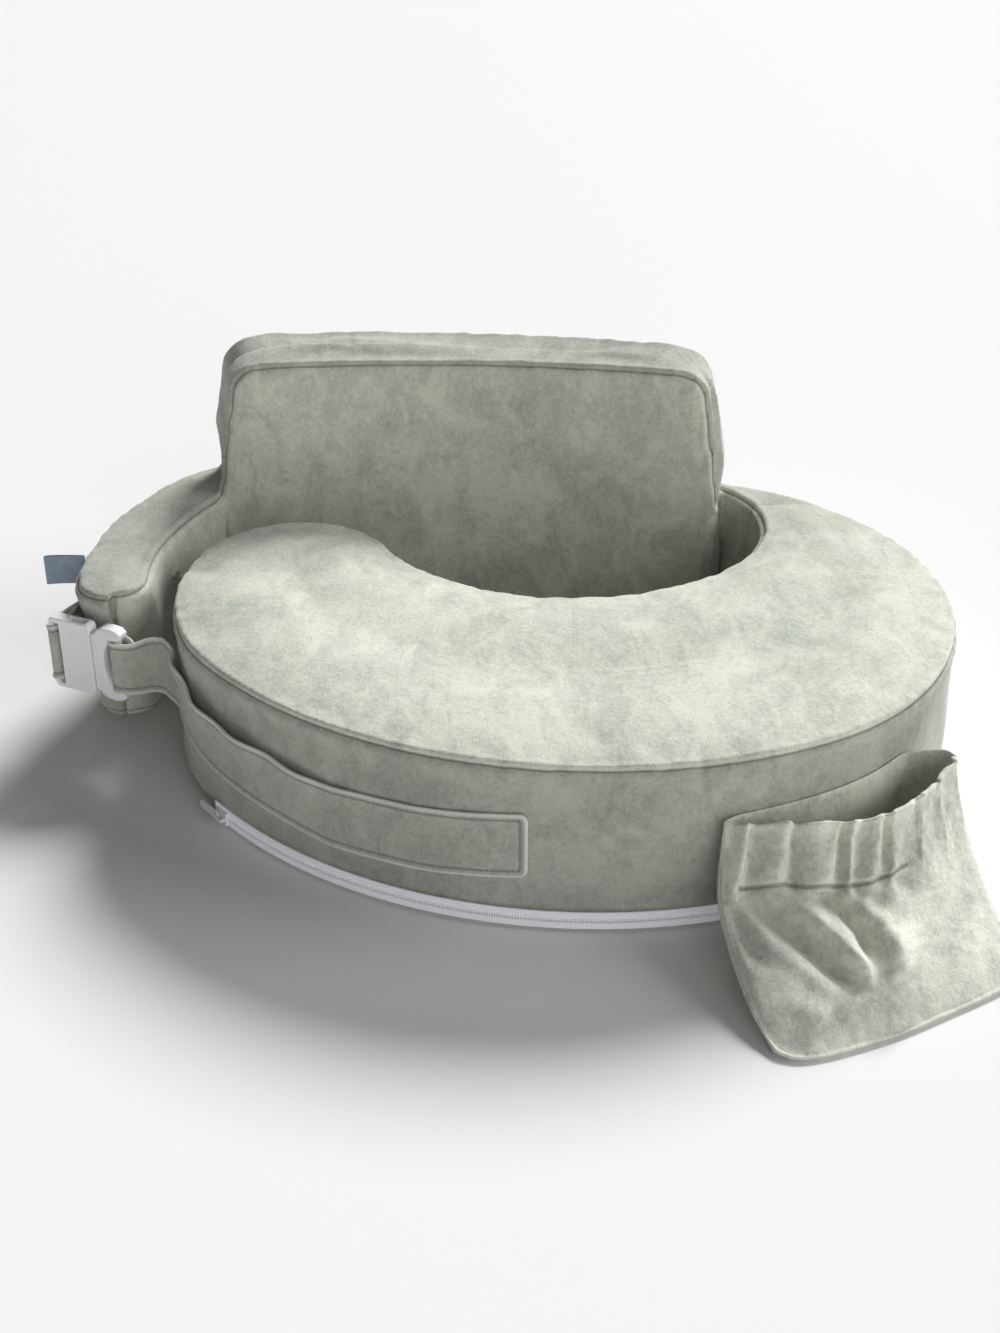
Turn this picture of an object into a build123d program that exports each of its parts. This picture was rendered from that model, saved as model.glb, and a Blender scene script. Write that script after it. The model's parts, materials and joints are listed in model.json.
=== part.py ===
"""Wrap-around nursing pillow: a crescent foam cushion and a foam back band in zipped covers.

Frame: +Z up, the pillow lies flat on z = 0, the wearer stands in the waist hole facing -Y.
The origin is under the middle of the whole pillow.  Units are millimetres and degrees.
"""

import os
from math import acos, asin, atan2, cos, degrees, hypot, radians, sin, sqrt

from build123d import *

# ---------------------------------------------------------------- driving dimensions
# Heights
CUSHION_HEIGHT = 120.0  # crescent cushion and arm, cover included
BACK_HEIGHT = 222.0  # top of the back support
COVER = 2.0  # velour cover, one layer

# Plan of the crescent cushion, all radii to the outside of the cover
RIGHT_CENTRE = (110.0, 44.0)
RIGHT_RADIUS = 206.0
FRONT_RADIUS = 318.0
FRONT_TANGENT = -66.1  # direction in which the right arc passes into the front arc
SIDE_RADIUS = 170.0
BUMP_CENTRE = (-142.0, 93.0)
BUMP_RADIUS = 76.0
WAIST_CENTRE = (56.0, 201.0)
HIP_RADIUS = 80.0
FLEX_WIDTH = 63.0  # width of the joined side, from the waist hole to the outside

# Plan of the back band
BACK_RADIUS = 790.0
BACK_TANGENT = 71.5
CORNER_RADIUS = 80.0
ARM_CENTRE = (-45.0, 97.0)
ARM_RADIUS = 242.0
ARM_THICKNESS = 46.0
NOSE_ANGLE = 186.5
LUMBAR_X = -56.0  # middle of the hollow that faces the wearer's back
LUMBAR_RADIUS = 862.0
LUMBAR_THICKNESS = 58.2  # between the crowns of the hollow and of the back
HIP_SHELF = 20.3  # from the waist hole's side at the flex line to the back support's right end

# Front view of the back support
LEFT_FOOT_INSET = 75.0  # from the arm's outside to the support's left foot
LEFT_LEAN = 16.0
RIGHT_LEAN = 14.0
BACK_CORNER = 26.0
ARM_SWEEP = 38.0
HIP_SWEEP = 10.0

# Flex line between the cushion and the back band
FLEX_Y = 190.0
FLEX_GAP = 0.6

# Zip along the bottom edge of the front arc
ZIP_START = 218.0
ZIP_END = 292.0
ZIP_HEIGHT = 14.0
TAPE = 1.0
COIL_HEIGHT = 3.2
COIL_DEPTH = 2.6
COIL_SPLIT = 0.2
STOP_ANGLE = 0.5
SLIDER_LENGTH = 11.0
SLIDER_HEIGHT = 9.0
SLIDER_PLATE = 1.4
SLIDE_GAP = 0.5
CROWN_HEIGHT = 3.6
CROWN_WIDTH = 2.2
CROWN_BAR = 1.2
PULL_LENGTH = 22.0
PULL_HEIGHT = 6.4
PULL_PLATE = 1.2

# Waist strap
STRAP_WIDTH = 47.0
STRAP_THICKNESS = 2.4
STRAP_GAP = 0.4
STRAP_ANCHOR_X = 18.0
STRAP_ANCHOR_Z = 61.0
STRAP_SAG = (-105.0, 55.0)  # lowest point of the strap's middle line, seen from the front
STRAP_LEFT = (-235.0, 74.5)
STRAP_LEAVE = 196.0  # direction on the side arc where the strap leaves the cushion

# Buckle: x along the strap from plug to socket, y up, z inwards
BUCKLE_CENTRE = (-280.5, 43.0, 72.0)
BUCKLE_HEADING = 155.7
BUCKLE_THICKNESS = 10.0
SLOT_WIDTH = 5.0
SLOT_MARGIN = 4.0
SLOT_ROUNDING = 1.0
PLUG_LENGTH = 21.0
PLUG_HEIGHT = 57.0
SOCKET_HEIGHT = 55.0
SOCKET_LENGTH = 34.0
MOUTH_X = -5.0
MOUTH_HALF = 22.0
MOUTH_BRIDGE = 4.0
WINDOW_LENGTH = 15.0
CAVITY_THICKNESS = 6.0
PRONG_THICKNESS = 4.8
PRONG_ARM = 4.0
PRONG_TIP_X = 11.5
PRONG_OUTER = 21.4
BARB_STEP = 1.6
BARB_LENGTH = 6.0
PIVOT_X = -8.5
PIVOT_RADIUS = 1.6
PIVOT_GAP = 0.05
TONGUE_HALF = 4.5

# Arm strap, which holds the socket to the arm
ARM_STRAP_FROM = 168.0
ARM_STRAP_TO = 180.0
LOOP_WALL = 1.6
LOOP_GAP = 0.3

# Bottle pocket, in a frame that runs along the cushion's side
POCKET_FROM = -60.0
POCKET_TO = 98.0
POCKET_MOUTH_Z = 80.0
POCKET_MOUTH_DEPTH = 32.0
POCKET_FLOOR_FROM = -90.0
POCKET_FLOOR_TO = 84.0
POCKET_FLOOR_DEPTH = 122.0
POCKET_FLOOR_BEVEL = 22.0
POCKET_SINK = 40.0  # how far the pouch's blank reaches in before it is cut to the cushion
POCKET_WALL = 2.4
HEM_HEIGHT = 34.0
ELASTIC_HEIGHT = 24.0
ELASTIC_THICKNESS = 0.8

# Side tag
TAG_ANGLE = 178.0
TAG_LENGTH = 26.0
TAG_HEIGHT = 22.0
TAG_THICKNESS = 0.8
TAG_DROP = 2.0  # from the top of the arm


# ---------------------------------------------------------------- plan geometry
def polar(centre, radius, angle):
    """Point at a radius and direction from a centre."""
    return (
        centre[0] + radius * cos(radians(angle)),
        centre[1] + radius * sin(radians(angle)),
    )


def heading(a, b):
    """Direction from a to b, from 0 to 360 degrees."""
    return degrees(atan2(b[1] - a[1], b[0] - a[0])) % 360


def distance(a, b):
    """Distance between two points."""
    return hypot(b[0] - a[0], b[1] - a[1])


def meet(a, radius_a, b, radius_b, side):
    """Where two circles meet: side is 1 for the left of the line from a to b, and -1 for the right."""
    gap = distance(a, b)
    along = (radius_a**2 - radius_b**2 + gap**2) / (2 * gap)
    lean = degrees(acos(along / radius_a))
    return polar(a, radius_a, heading(a, b) + side * lean)


def arc(centre, radius, start, end):
    """Arc about a centre from one direction to another."""
    middle = (start + end) / 2
    points = [polar(centre, radius, angle) for angle in (start, middle, end)]
    return ThreePointArc(*points)


FRONT_CENTRE = polar(RIGHT_CENTRE, FRONT_RADIUS - RIGHT_RADIUS, FRONT_TANGENT + 180)
SIDE_CENTRE = meet(
    BUMP_CENTRE, SIDE_RADIUS - BUMP_RADIUS, FRONT_CENTRE, FRONT_RADIUS - SIDE_RADIUS, -1
)
SIDE_FROM = heading(FRONT_CENTRE, SIDE_CENTRE)
SIDE_TO = heading(SIDE_CENTRE, BUMP_CENTRE)
WAIST_RADIUS = distance(BUMP_CENTRE, WAIST_CENTRE) - BUMP_RADIUS
BUMP_TO = heading(BUMP_CENTRE, WAIST_CENTRE)
FLEX_X = RIGHT_CENTRE[0] + sqrt(RIGHT_RADIUS**2 - (FLEX_Y - RIGHT_CENTRE[1]) ** 2) - FLEX_WIDTH
HIP_CENTRE = meet(
    WAIST_CENTRE, WAIST_RADIUS - HIP_RADIUS, (FLEX_X, FLEX_Y), HIP_RADIUS, -1
)
HIP_TANGENT = heading(WAIST_CENTRE, HIP_CENTRE) - 360
BACK_CENTRE = polar(RIGHT_CENTRE, BACK_RADIUS - RIGHT_RADIUS, BACK_TANGENT + 180)
LUMBAR_CENTRE = (LUMBAR_X, BACK_CENTRE[1] + BACK_RADIUS - LUMBAR_THICKNESS - LUMBAR_RADIUS)
BACK_END_X = FLEX_X - HIP_SHELF
CORNER_CENTRE = meet(
    BACK_CENTRE, BACK_RADIUS - CORNER_RADIUS, ARM_CENTRE, ARM_RADIUS - CORNER_RADIUS, 1
)
ARM_INNER = ARM_RADIUS - ARM_THICKNESS
NOSE_RADIUS = ARM_THICKNESS / 2
NOSE_CENTRE = polar(ARM_CENTRE, ARM_RADIUS - NOSE_RADIUS, NOSE_ANGLE)


def angle_at_y(centre, radius, y):
    """Direction, right of the centre, in which a circle reaches a height in plan."""
    return degrees(asin((y - centre[1]) / radius))


def front_outline(inset):
    """Crescent plan, drawn in from the outside of the cover by inset; it ends at the flex line."""
    right = RIGHT_RADIUS - inset
    hip = HIP_RADIUS + inset
    split = FLEX_Y - FLEX_GAP / 2
    right_end = angle_at_y(RIGHT_CENTRE, right, split)
    hip_end = angle_at_y(HIP_CENTRE, hip, split)
    arc(RIGHT_CENTRE, right, right_end, FRONT_TANGENT)
    arc(FRONT_CENTRE, FRONT_RADIUS - inset, FRONT_TANGENT + 360, SIDE_FROM)
    arc(SIDE_CENTRE, SIDE_RADIUS - inset, SIDE_FROM, SIDE_TO)
    arc(BUMP_CENTRE, BUMP_RADIUS - inset, SIDE_TO, BUMP_TO)
    arc(WAIST_CENTRE, WAIST_RADIUS + inset, BUMP_TO + 180, HIP_TANGENT + 360)
    arc(HIP_CENTRE, hip, HIP_TANGENT, hip_end)
    Line(polar(HIP_CENTRE, hip, hip_end), polar(RIGHT_CENTRE, right, right_end))


def back_outline(inset):
    """Plan of the back band and its arm, drawn in by inset; it starts at the flex line."""
    right = RIGHT_RADIUS - inset
    hip = HIP_RADIUS + inset
    lumbar = LUMBAR_RADIUS + inset
    inner = ARM_INNER + inset
    split = FLEX_Y + FLEX_GAP / 2
    end_x = BACK_END_X - inset
    corner_from = heading(BACK_CENTRE, CORNER_CENTRE)
    corner_to = heading(ARM_CENTRE, CORNER_CENTRE)
    crook = meet(ARM_CENTRE, inner, LUMBAR_CENTRE, lumbar, -1)
    end_angle = degrees(acos((end_x - LUMBAR_CENTRE[0]) / lumbar))
    notch_angle = degrees(acos((end_x - HIP_CENTRE[0]) / hip))
    right_end = angle_at_y(RIGHT_CENTRE, right, split)
    hip_end = angle_at_y(HIP_CENTRE, hip, split)
    arc(RIGHT_CENTRE, right, right_end, BACK_TANGENT)
    arc(BACK_CENTRE, BACK_RADIUS - inset, BACK_TANGENT, corner_from)
    arc(CORNER_CENTRE, CORNER_RADIUS - inset, corner_from, corner_to)
    arc(ARM_CENTRE, ARM_RADIUS - inset, corner_to, NOSE_ANGLE)
    arc(NOSE_CENTRE, NOSE_RADIUS - inset, NOSE_ANGLE, NOSE_ANGLE + 180)
    arc(ARM_CENTRE, inner, NOSE_ANGLE, heading(ARM_CENTRE, crook))
    arc(LUMBAR_CENTRE, lumbar, heading(LUMBAR_CENTRE, crook), end_angle)
    Line(polar(LUMBAR_CENTRE, lumbar, end_angle), polar(HIP_CENTRE, hip, notch_angle))
    arc(HIP_CENTRE, hip, notch_angle, hip_end)
    Line(polar(HIP_CENTRE, hip, hip_end), polar(RIGHT_CENTRE, right, right_end))


def back_profile(inset):
    """Front view of the back band, drawn in by inset: low arm, raised back support, low right end."""
    low = CUSHION_HEIGHT - inset
    high = BACK_HEIGHT - inset
    wide = ARM_RADIUS * 2
    left_foot = ARM_CENTRE[0] - ARM_RADIUS + LEFT_FOOT_INSET + inset
    right_foot = BACK_END_X - inset
    feet = [(-wide, inset), (wide, inset), (wide, low), (right_foot, low)]
    tops = [(right_foot - RIGHT_LEAN, high), (left_foot + LEFT_LEAN, high)]
    Polyline(*feet, *tops, (left_foot, low), (-wide, low), close=True)


def profile_corners(vertices, inset):
    """The profile's corners to round, each group with its radius."""
    low = CUSHION_HEIGHT - inset
    tops = vertices.filter_by(lambda v: v.Y > low + 1)
    feet = vertices.filter_by(lambda v: abs(v.Y - low) < 1)
    left_foot = feet.sort_by(Axis.X)[1]
    right_foot = feet.sort_by(Axis.X)[2]
    return [
        (tops, BACK_CORNER - inset),
        (left_foot, ARM_SWEEP + inset),
        (right_foot, HIP_SWEEP + inset),
    ]


def write(part, name):
    """Labels a finished piece and writes it."""
    part.label = name
    export_step(part, f"parts/{name}.step")
    return part


os.makedirs("parts", exist_ok=True)

# ---------------------------------------------------------------- crescent cushion
with BuildPart() as front_foam:
    with BuildSketch(Plane.XY.offset(COVER)):
        with BuildLine():
            front_outline(COVER)
        make_face()
    extrude(amount=CUSHION_HEIGHT - 2 * COVER)
write(front_foam.part, "front_foam")


def front_sheet(z):
    """One flat cover panel of the crescent, lying at height z."""
    with BuildPart() as sheet:
        with BuildSketch(Plane.XY.offset(z)):
            with BuildLine():
                front_outline(0)
            make_face()
        extrude(amount=COVER)
    return sheet.part


write(front_sheet(CUSHION_HEIGHT - COVER), "front_top_panel")
write(front_sheet(0), "front_bottom_panel")

FRONT_SURFACE = FRONT_RADIUS


def ring_sector(inner, outer, start, end, bottom, height, centre=FRONT_CENTRE):
    """Curved strip about a centre, standing on height bottom."""
    with BuildPart() as strip:
        with BuildSketch(Plane.XY.offset(bottom)):
            with BuildLine():
                arc(centre, outer, start, end)
                Line(polar(centre, outer, end), polar(centre, inner, end))
                arc(centre, inner, end, start)
                Line(polar(centre, inner, start), polar(centre, outer, start))
            make_face()
        extrude(amount=height)
    return strip.part


zip_channel = ring_sector(
    FRONT_SURFACE - COVER, FRONT_SURFACE + COVER, ZIP_START, ZIP_END, COVER, ZIP_HEIGHT - COVER
)

with BuildPart() as front_side_band:
    with BuildSketch(Plane.XY.offset(COVER)):
        with BuildLine():
            front_outline(0)
        make_face()
        with BuildLine():
            front_outline(COVER)
        make_face(mode=Mode.SUBTRACT)
    extrude(amount=CUSHION_HEIGHT - 2 * COVER)
    add(zip_channel, mode=Mode.SUBTRACT)
write(front_side_band.part, "front_side_band")

# ---------------------------------------------------------------- zip
COIL_MID_Z = (COVER + ZIP_HEIGHT) / 2
ROW_HEIGHT = (COIL_HEIGHT - COIL_SPLIT) / 2
TAPE_OUT = FRONT_SURFACE
TAPE_IN = TAPE_OUT - TAPE
COIL_OUT = TAPE_OUT + (COIL_DEPTH - TAPE) / 2
COIL_IN = COIL_OUT - COIL_DEPTH
TAPE_HEIGHT = COIL_MID_Z - COIL_HEIGHT / 2 - COVER
CHAIN_START = ZIP_START + STOP_ANGLE * 2
CHAIN_END = ZIP_END - STOP_ANGLE * 2

lower_tape = ring_sector(TAPE_IN, TAPE_OUT, ZIP_START, ZIP_END, COVER, TAPE_HEIGHT)
write(lower_tape, "zipper_tape_lower")
upper_tape = ring_sector(
    TAPE_IN, TAPE_OUT, ZIP_START, ZIP_END, COIL_MID_Z + COIL_HEIGHT / 2, TAPE_HEIGHT
)
write(upper_tape, "zipper_tape_upper")

with BuildPart() as zipper_coils:
    for bottom in (COIL_MID_Z - COIL_HEIGHT / 2, COIL_MID_Z + COIL_SPLIT / 2):
        add(ring_sector(COIL_IN, COIL_OUT, CHAIN_START, CHAIN_END, bottom, ROW_HEIGHT))
write(zipper_coils.part, "zipper_coils")

with BuildPart() as zipper_stops:
    for start in (CHAIN_START - STOP_ANGLE, CHAIN_END):
        bottom = COIL_MID_Z - COIL_HEIGHT / 2
        add(ring_sector(COIL_IN, COIL_OUT, start, start + STOP_ANGLE, bottom, COIL_HEIGHT))
write(zipper_stops.part, "zipper_stops")


def degrees_on_front(length):
    """Length along the front arc as an angle."""
    return degrees(length / FRONT_SURFACE)


SLIDER_IN = COIL_OUT + SLIDE_GAP
SLIDER_OUT = SLIDER_IN + SLIDER_PLATE
SLIDER_FROM = CHAIN_START
SLIDER_TO = SLIDER_FROM + degrees_on_front(SLIDER_LENGTH)
SLIDER_MID = (SLIDER_FROM + SLIDER_TO) / 2
FLANGE = 1.2
FLANGE_IN = TAPE_OUT + SLIDE_GAP / 2
CROWN_SPAN = degrees_on_front(SLIDER_LENGTH - 2)
CROWN_POST = degrees_on_front(CROWN_BAR)
SLIDER_LOW = COIL_MID_Z - SLIDER_HEIGHT / 2
CROWN_LOW = COIL_MID_Z - CROWN_WIDTH / 2

with BuildPart() as zipper_slider:
    add(ring_sector(SLIDER_IN, SLIDER_OUT, SLIDER_FROM, SLIDER_TO, SLIDER_LOW, SLIDER_HEIGHT))
    for low in (SLIDER_LOW, SLIDER_LOW + SLIDER_HEIGHT - FLANGE):
        add(ring_sector(FLANGE_IN, SLIDER_IN, SLIDER_FROM, SLIDER_TO, low, FLANGE))
    crown_from = SLIDER_MID - CROWN_SPAN / 2
    crown_to = SLIDER_MID + CROWN_SPAN / 2
    crown_out = SLIDER_OUT + CROWN_HEIGHT
    bridge_in = crown_out - CROWN_BAR
    add(ring_sector(bridge_in, crown_out, crown_from, crown_to, CROWN_LOW, CROWN_WIDTH))
    for start in (crown_from, crown_to - CROWN_POST):
        end = start + CROWN_POST
        add(ring_sector(SLIDER_OUT, bridge_in, start, end, CROWN_LOW, CROWN_WIDTH))
write(zipper_slider.part, "zipper_slider")

# The pull's eye goes round the crown bridge; its axis stands upright inside the crown.
PULL_R = SLIDER_OUT + (CROWN_HEIGHT - CROWN_BAR) / 2
PULL_AXIS = polar(FRONT_CENTRE, PULL_R, SLIDER_MID - CROWN_SPAN / 2 + CROWN_POST * 2)
pull_direction = heading(FRONT_CENTRE, PULL_AXIS) - 90
pull_plane = Plane(
    origin=(*PULL_AXIS, COIL_MID_Z),
    x_dir=(cos(radians(pull_direction)), sin(radians(pull_direction)), 0),
    z_dir=(cos(radians(pull_direction + 90)), sin(radians(pull_direction + 90)), 0),
)
EYE_HEIGHT = CROWN_WIDTH + 2 * SLIDE_GAP
EYE_REACH = 2.6
with BuildPart() as zipper_pull:
    with BuildSketch(pull_plane.offset(-PULL_PLATE / 2)):
        with Locations((PULL_LENGTH / 2 - PULL_PLATE / 2, 0)):
            RectangleRounded(PULL_LENGTH, PULL_HEIGHT, PULL_HEIGHT / 2 - 0.2)
        with Locations((EYE_REACH, 0)):
            Rectangle(EYE_REACH * 2, EYE_HEIGHT, mode=Mode.SUBTRACT)
    extrude(amount=PULL_PLATE)
write(zipper_pull.part, "zipper_pull")

# ---------------------------------------------------------------- back band
with BuildPart() as back_outer:
    with BuildSketch():
        with BuildLine():
            back_outline(0)
        make_face()
    extrude(amount=BACK_HEIGHT)
    with BuildSketch(Plane.XZ) as outer_profile:
        with BuildLine():
            back_profile(0)
        make_face()
        for corners, radius in profile_corners(outer_profile.vertices(), 0):
            fillet(corners, radius)
    extrude(amount=ARM_RADIUS * 2, both=True, mode=Mode.INTERSECT)

with BuildPart() as back_inner:
    with BuildSketch(Plane.XZ) as inner_profile:
        with BuildLine():
            back_profile(COVER)
        make_face()
        for corners, radius in profile_corners(inner_profile.vertices(), COVER):
            fillet(corners, radius)
    extrude(amount=ARM_RADIUS * 2, both=True)

with BuildPart() as back_foam:
    with BuildSketch():
        with BuildLine():
            back_outline(COVER)
        make_face()
    extrude(amount=BACK_HEIGHT)
    add(back_inner.part, mode=Mode.INTERSECT)
write(back_foam.part, "back_foam")

with BuildPart() as back_bottom_panel:
    with BuildSketch():
        with BuildLine():
            back_outline(0)
        make_face()
    extrude(amount=COVER)
write(back_bottom_panel.part, "back_bottom_panel")

with BuildPart() as back_top_strip:
    add(back_outer.part)
    add(back_inner.part, mode=Mode.SUBTRACT)
    add(back_bottom_panel.part, mode=Mode.SUBTRACT)
write(back_top_strip.part, "back_top_strip")

with BuildPart() as inner_half:
    with BuildSketch():
        with Locations(ARM_CENTRE):
            Circle(ARM_RADIUS - NOSE_RADIUS)
            Rectangle(BACK_RADIUS, BACK_RADIUS, align=(Align.MIN, Align.CENTER))
        with Locations(BACK_CENTRE):
            Circle(BACK_RADIUS - NOSE_RADIUS, mode=Mode.INTERSECT)
        with Locations(HIP_CENTRE):
            Circle(HIP_RADIUS + 2 * COVER)
    extrude(amount=BACK_HEIGHT)


def back_wall(mode):
    """The upright cover panel on one side of the back band."""
    with BuildPart() as wall:
        with BuildSketch():
            with BuildLine():
                back_outline(0)
            make_face()
            with BuildLine():
                back_outline(COVER)
            make_face(mode=Mode.SUBTRACT)
        extrude(amount=BACK_HEIGHT)
        add(back_inner.part, mode=Mode.INTERSECT)
        add(inner_half.part, mode=mode)
    return wall.part


write(back_wall(Mode.INTERSECT), "back_inner_panel")
write(back_wall(Mode.SUBTRACT), "back_outer_panel")

# ---------------------------------------------------------------- side tag
tag_foot = polar(ARM_CENTRE, ARM_RADIUS + TAG_LENGTH / 2, TAG_ANGLE)
with BuildPart() as side_tag:
    with BuildSketch(Plane.XY.offset(CUSHION_HEIGHT - TAG_DROP - TAG_HEIGHT)):
        with Locations(Location((*tag_foot, 0), (0, 0, TAG_ANGLE))):
            Rectangle(TAG_LENGTH, TAG_THICKNESS)
    extrude(amount=TAG_HEIGHT)
    with BuildSketch():
        with Locations(ARM_CENTRE):
            Circle(ARM_RADIUS)
    extrude(amount=BACK_HEIGHT, mode=Mode.SUBTRACT)
write(side_tag.part, "side_tag")

# ---------------------------------------------------------------- waist strap
STRAP_IN = STRAP_GAP
STRAP_OUT = STRAP_GAP + STRAP_THICKNESS
STRAP_RIGHT = 270.0  # past the anchored end, which the band's own end cuts

with BuildPart() as strap_band:
    with BuildSketch(Plane.XZ):
        with BuildLine():
            ThreePointArc((STRAP_ANCHOR_X, STRAP_ANCHOR_Z), STRAP_SAG, STRAP_LEFT)
        trace(line_width=STRAP_WIDTH)
    extrude(amount=FRONT_RADIUS, both=True)

with BuildPart() as waist_strap:
    with BuildSketch():
        with BuildLine():
            arc(FRONT_CENTRE, FRONT_RADIUS + STRAP_OUT, STRAP_RIGHT, SIDE_FROM)
            arc(SIDE_CENTRE, SIDE_RADIUS + STRAP_OUT, SIDE_FROM, STRAP_LEAVE)
            Line(
                polar(SIDE_CENTRE, SIDE_RADIUS + STRAP_OUT, STRAP_LEAVE),
                polar(SIDE_CENTRE, SIDE_RADIUS + STRAP_IN, STRAP_LEAVE),
            )
            arc(SIDE_CENTRE, SIDE_RADIUS + STRAP_IN, STRAP_LEAVE, SIDE_FROM)
            arc(FRONT_CENTRE, FRONT_RADIUS + STRAP_IN, SIDE_FROM, STRAP_RIGHT)
            Line(
                polar(FRONT_CENTRE, FRONT_RADIUS + STRAP_IN, STRAP_RIGHT),
                polar(FRONT_CENTRE, FRONT_RADIUS + STRAP_OUT, STRAP_RIGHT),
            )
        make_face()
    extrude(amount=CUSHION_HEIGHT)
    add(strap_band.part, mode=Mode.INTERSECT)
write(waist_strap.part, "waist_strap")

# ---------------------------------------------------------------- buckle
heading_x = (cos(radians(BUCKLE_HEADING)), sin(radians(BUCKLE_HEADING)), 0)
inward = (sin(radians(BUCKLE_HEADING)), -cos(radians(BUCKLE_HEADING)), 0)
buckle = Plane(origin=BUCKLE_CENTRE, x_dir=heading_x, z_dir=inward)
SLOT_HEIGHT = STRAP_WIDTH + 1.0
PLUG_LEFT = MOUTH_X - SLIDE_GAP - PLUG_LENGTH
PLUG_RIGHT = MOUTH_X - SLIDE_GAP
SOCKET_END = MOUTH_X + SOCKET_LENGTH
PLUG_SLOT_X = PLUG_LEFT + SLOT_MARGIN + SLOT_WIDTH / 2
SOCKET_SLOT_X = SOCKET_END - SLOT_MARGIN - SLOT_WIDTH / 2
PIVOT_Y = PRONG_OUTER - PRONG_ARM / 2
EDGE = 1.2

with BuildPart() as buckle_plug:
    with BuildSketch(buckle.offset(-BUCKLE_THICKNESS / 2)):
        with Locations(((PLUG_LEFT + PLUG_RIGHT) / 2, 0)):
            RectangleRounded(PLUG_LENGTH, PLUG_HEIGHT, SLOT_MARGIN)
    extrude(amount=BUCKLE_THICKNESS)
    fillet(buckle_plug.edges().group_by(Axis(buckle.origin, buckle.z_dir))[0], EDGE)
    fillet(buckle_plug.edges().group_by(Axis(buckle.origin, buckle.z_dir))[-1], EDGE)
    with BuildSketch(buckle.offset(-BUCKLE_THICKNESS / 2)):
        with Locations((PLUG_SLOT_X, 0)):
            RectangleRounded(SLOT_WIDTH, SLOT_HEIGHT, SLOT_ROUNDING)
    extrude(amount=BUCKLE_THICKNESS, mode=Mode.SUBTRACT)
    # Rooms for the prongs, and the pins on which they flex
    with BuildSketch(buckle.offset(-CAVITY_THICKNESS / 2)):
        for side in (1, -1):
            room = (PLUG_RIGHT - PIVOT_X) + PRONG_ARM / 2 + SLIDE_GAP
            with Locations((PLUG_RIGHT - room / 2, side * PIVOT_Y)):
                Rectangle(room, PRONG_ARM + PRONG_ARM)
    extrude(amount=CAVITY_THICKNESS, mode=Mode.SUBTRACT)
    with BuildSketch(buckle.offset(-CAVITY_THICKNESS / 2)):
        with Locations((PIVOT_X, PIVOT_Y), (PIVOT_X, -PIVOT_Y)):
            Circle(PIVOT_RADIUS / 2)
    extrude(amount=CAVITY_THICKNESS)
    # Guide tongue
    with BuildSketch(buckle.offset(-PRONG_THICKNESS / 2)):
        with Locations((PLUG_RIGHT, 0)):
            Rectangle(
                PRONG_TIP_X - PLUG_RIGHT,
                TONGUE_HALF * 2,
                align=(Align.MIN, Align.CENTER),
            )
    extrude(amount=PRONG_THICKNESS)
write(buckle_plug.part, "buckle_plug")

SHOULDER_X = PRONG_TIP_X - BARB_LENGTH


def prong(side):
    """One flexing prong, with its barb outwards."""
    inner = PRONG_OUTER - PRONG_ARM
    barb = PRONG_OUTER + BARB_STEP
    with BuildPart() as arm:
        with BuildSketch(buckle.offset(-PRONG_THICKNESS / 2)):
            with BuildLine():
                root = [(PIVOT_X, side * inner), (PIVOT_X, side * PRONG_OUTER)]
                shoulder = [
                    (SHOULDER_X - BARB_STEP, side * PRONG_OUTER),
                    (SHOULDER_X, side * barb),
                ]
                tip = [
                    (PRONG_TIP_X - BARB_STEP, side * barb),
                    (PRONG_TIP_X, side * PRONG_OUTER),
                    (PRONG_TIP_X, side * inner),
                ]
                Polyline(*root, *shoulder, *tip, close=True)
            make_face()
            with Locations((PIVOT_X, side * PIVOT_Y)):
                Circle(PRONG_ARM / 2)
                Circle(PIVOT_RADIUS / 2 + PIVOT_GAP, mode=Mode.SUBTRACT)
        extrude(amount=PRONG_THICKNESS)
    return arm.part


write(prong(1), "buckle_prong_upper")
write(prong(-1), "buckle_prong_lower")

CAVITY_END = PRONG_TIP_X + SLIDE_GAP * 2
with BuildPart() as buckle_socket:
    with BuildSketch(buckle.offset(-BUCKLE_THICKNESS / 2)):
        with Locations(((MOUTH_X + SOCKET_END) / 2, 0)):
            RectangleRounded(SOCKET_LENGTH, SOCKET_HEIGHT, SLOT_MARGIN)
    extrude(amount=BUCKLE_THICKNESS)
    fillet(buckle_socket.edges().group_by(Axis(buckle.origin, buckle.z_dir))[0], EDGE)
    fillet(buckle_socket.edges().group_by(Axis(buckle.origin, buckle.z_dir))[-1], EDGE)
    with BuildSketch(buckle.offset(-BUCKLE_THICKNESS / 2)):
        with Locations((SOCKET_SLOT_X, 0)):
            RectangleRounded(SLOT_WIDTH, SLOT_HEIGHT, SLOT_ROUNDING)
    extrude(amount=BUCKLE_THICKNESS, mode=Mode.SUBTRACT)
    # Cavity with its mouth, and a window through each edge for the barbs
    with BuildSketch(buckle.offset(-CAVITY_THICKNESS / 2)):
        with Locations((MOUTH_X - EDGE, 0)):
            Rectangle(
                CAVITY_END - MOUTH_X + EDGE, MOUTH_HALF * 2, align=(Align.MIN, Align.CENTER)
            )
        with Locations((MOUTH_X + MOUTH_BRIDGE, 0)):
            Rectangle(WINDOW_LENGTH, SOCKET_HEIGHT * 2, align=(Align.MIN, Align.CENTER))
    extrude(amount=CAVITY_THICKNESS, mode=Mode.SUBTRACT)
write(buckle_socket.part, "buckle_socket")

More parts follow.
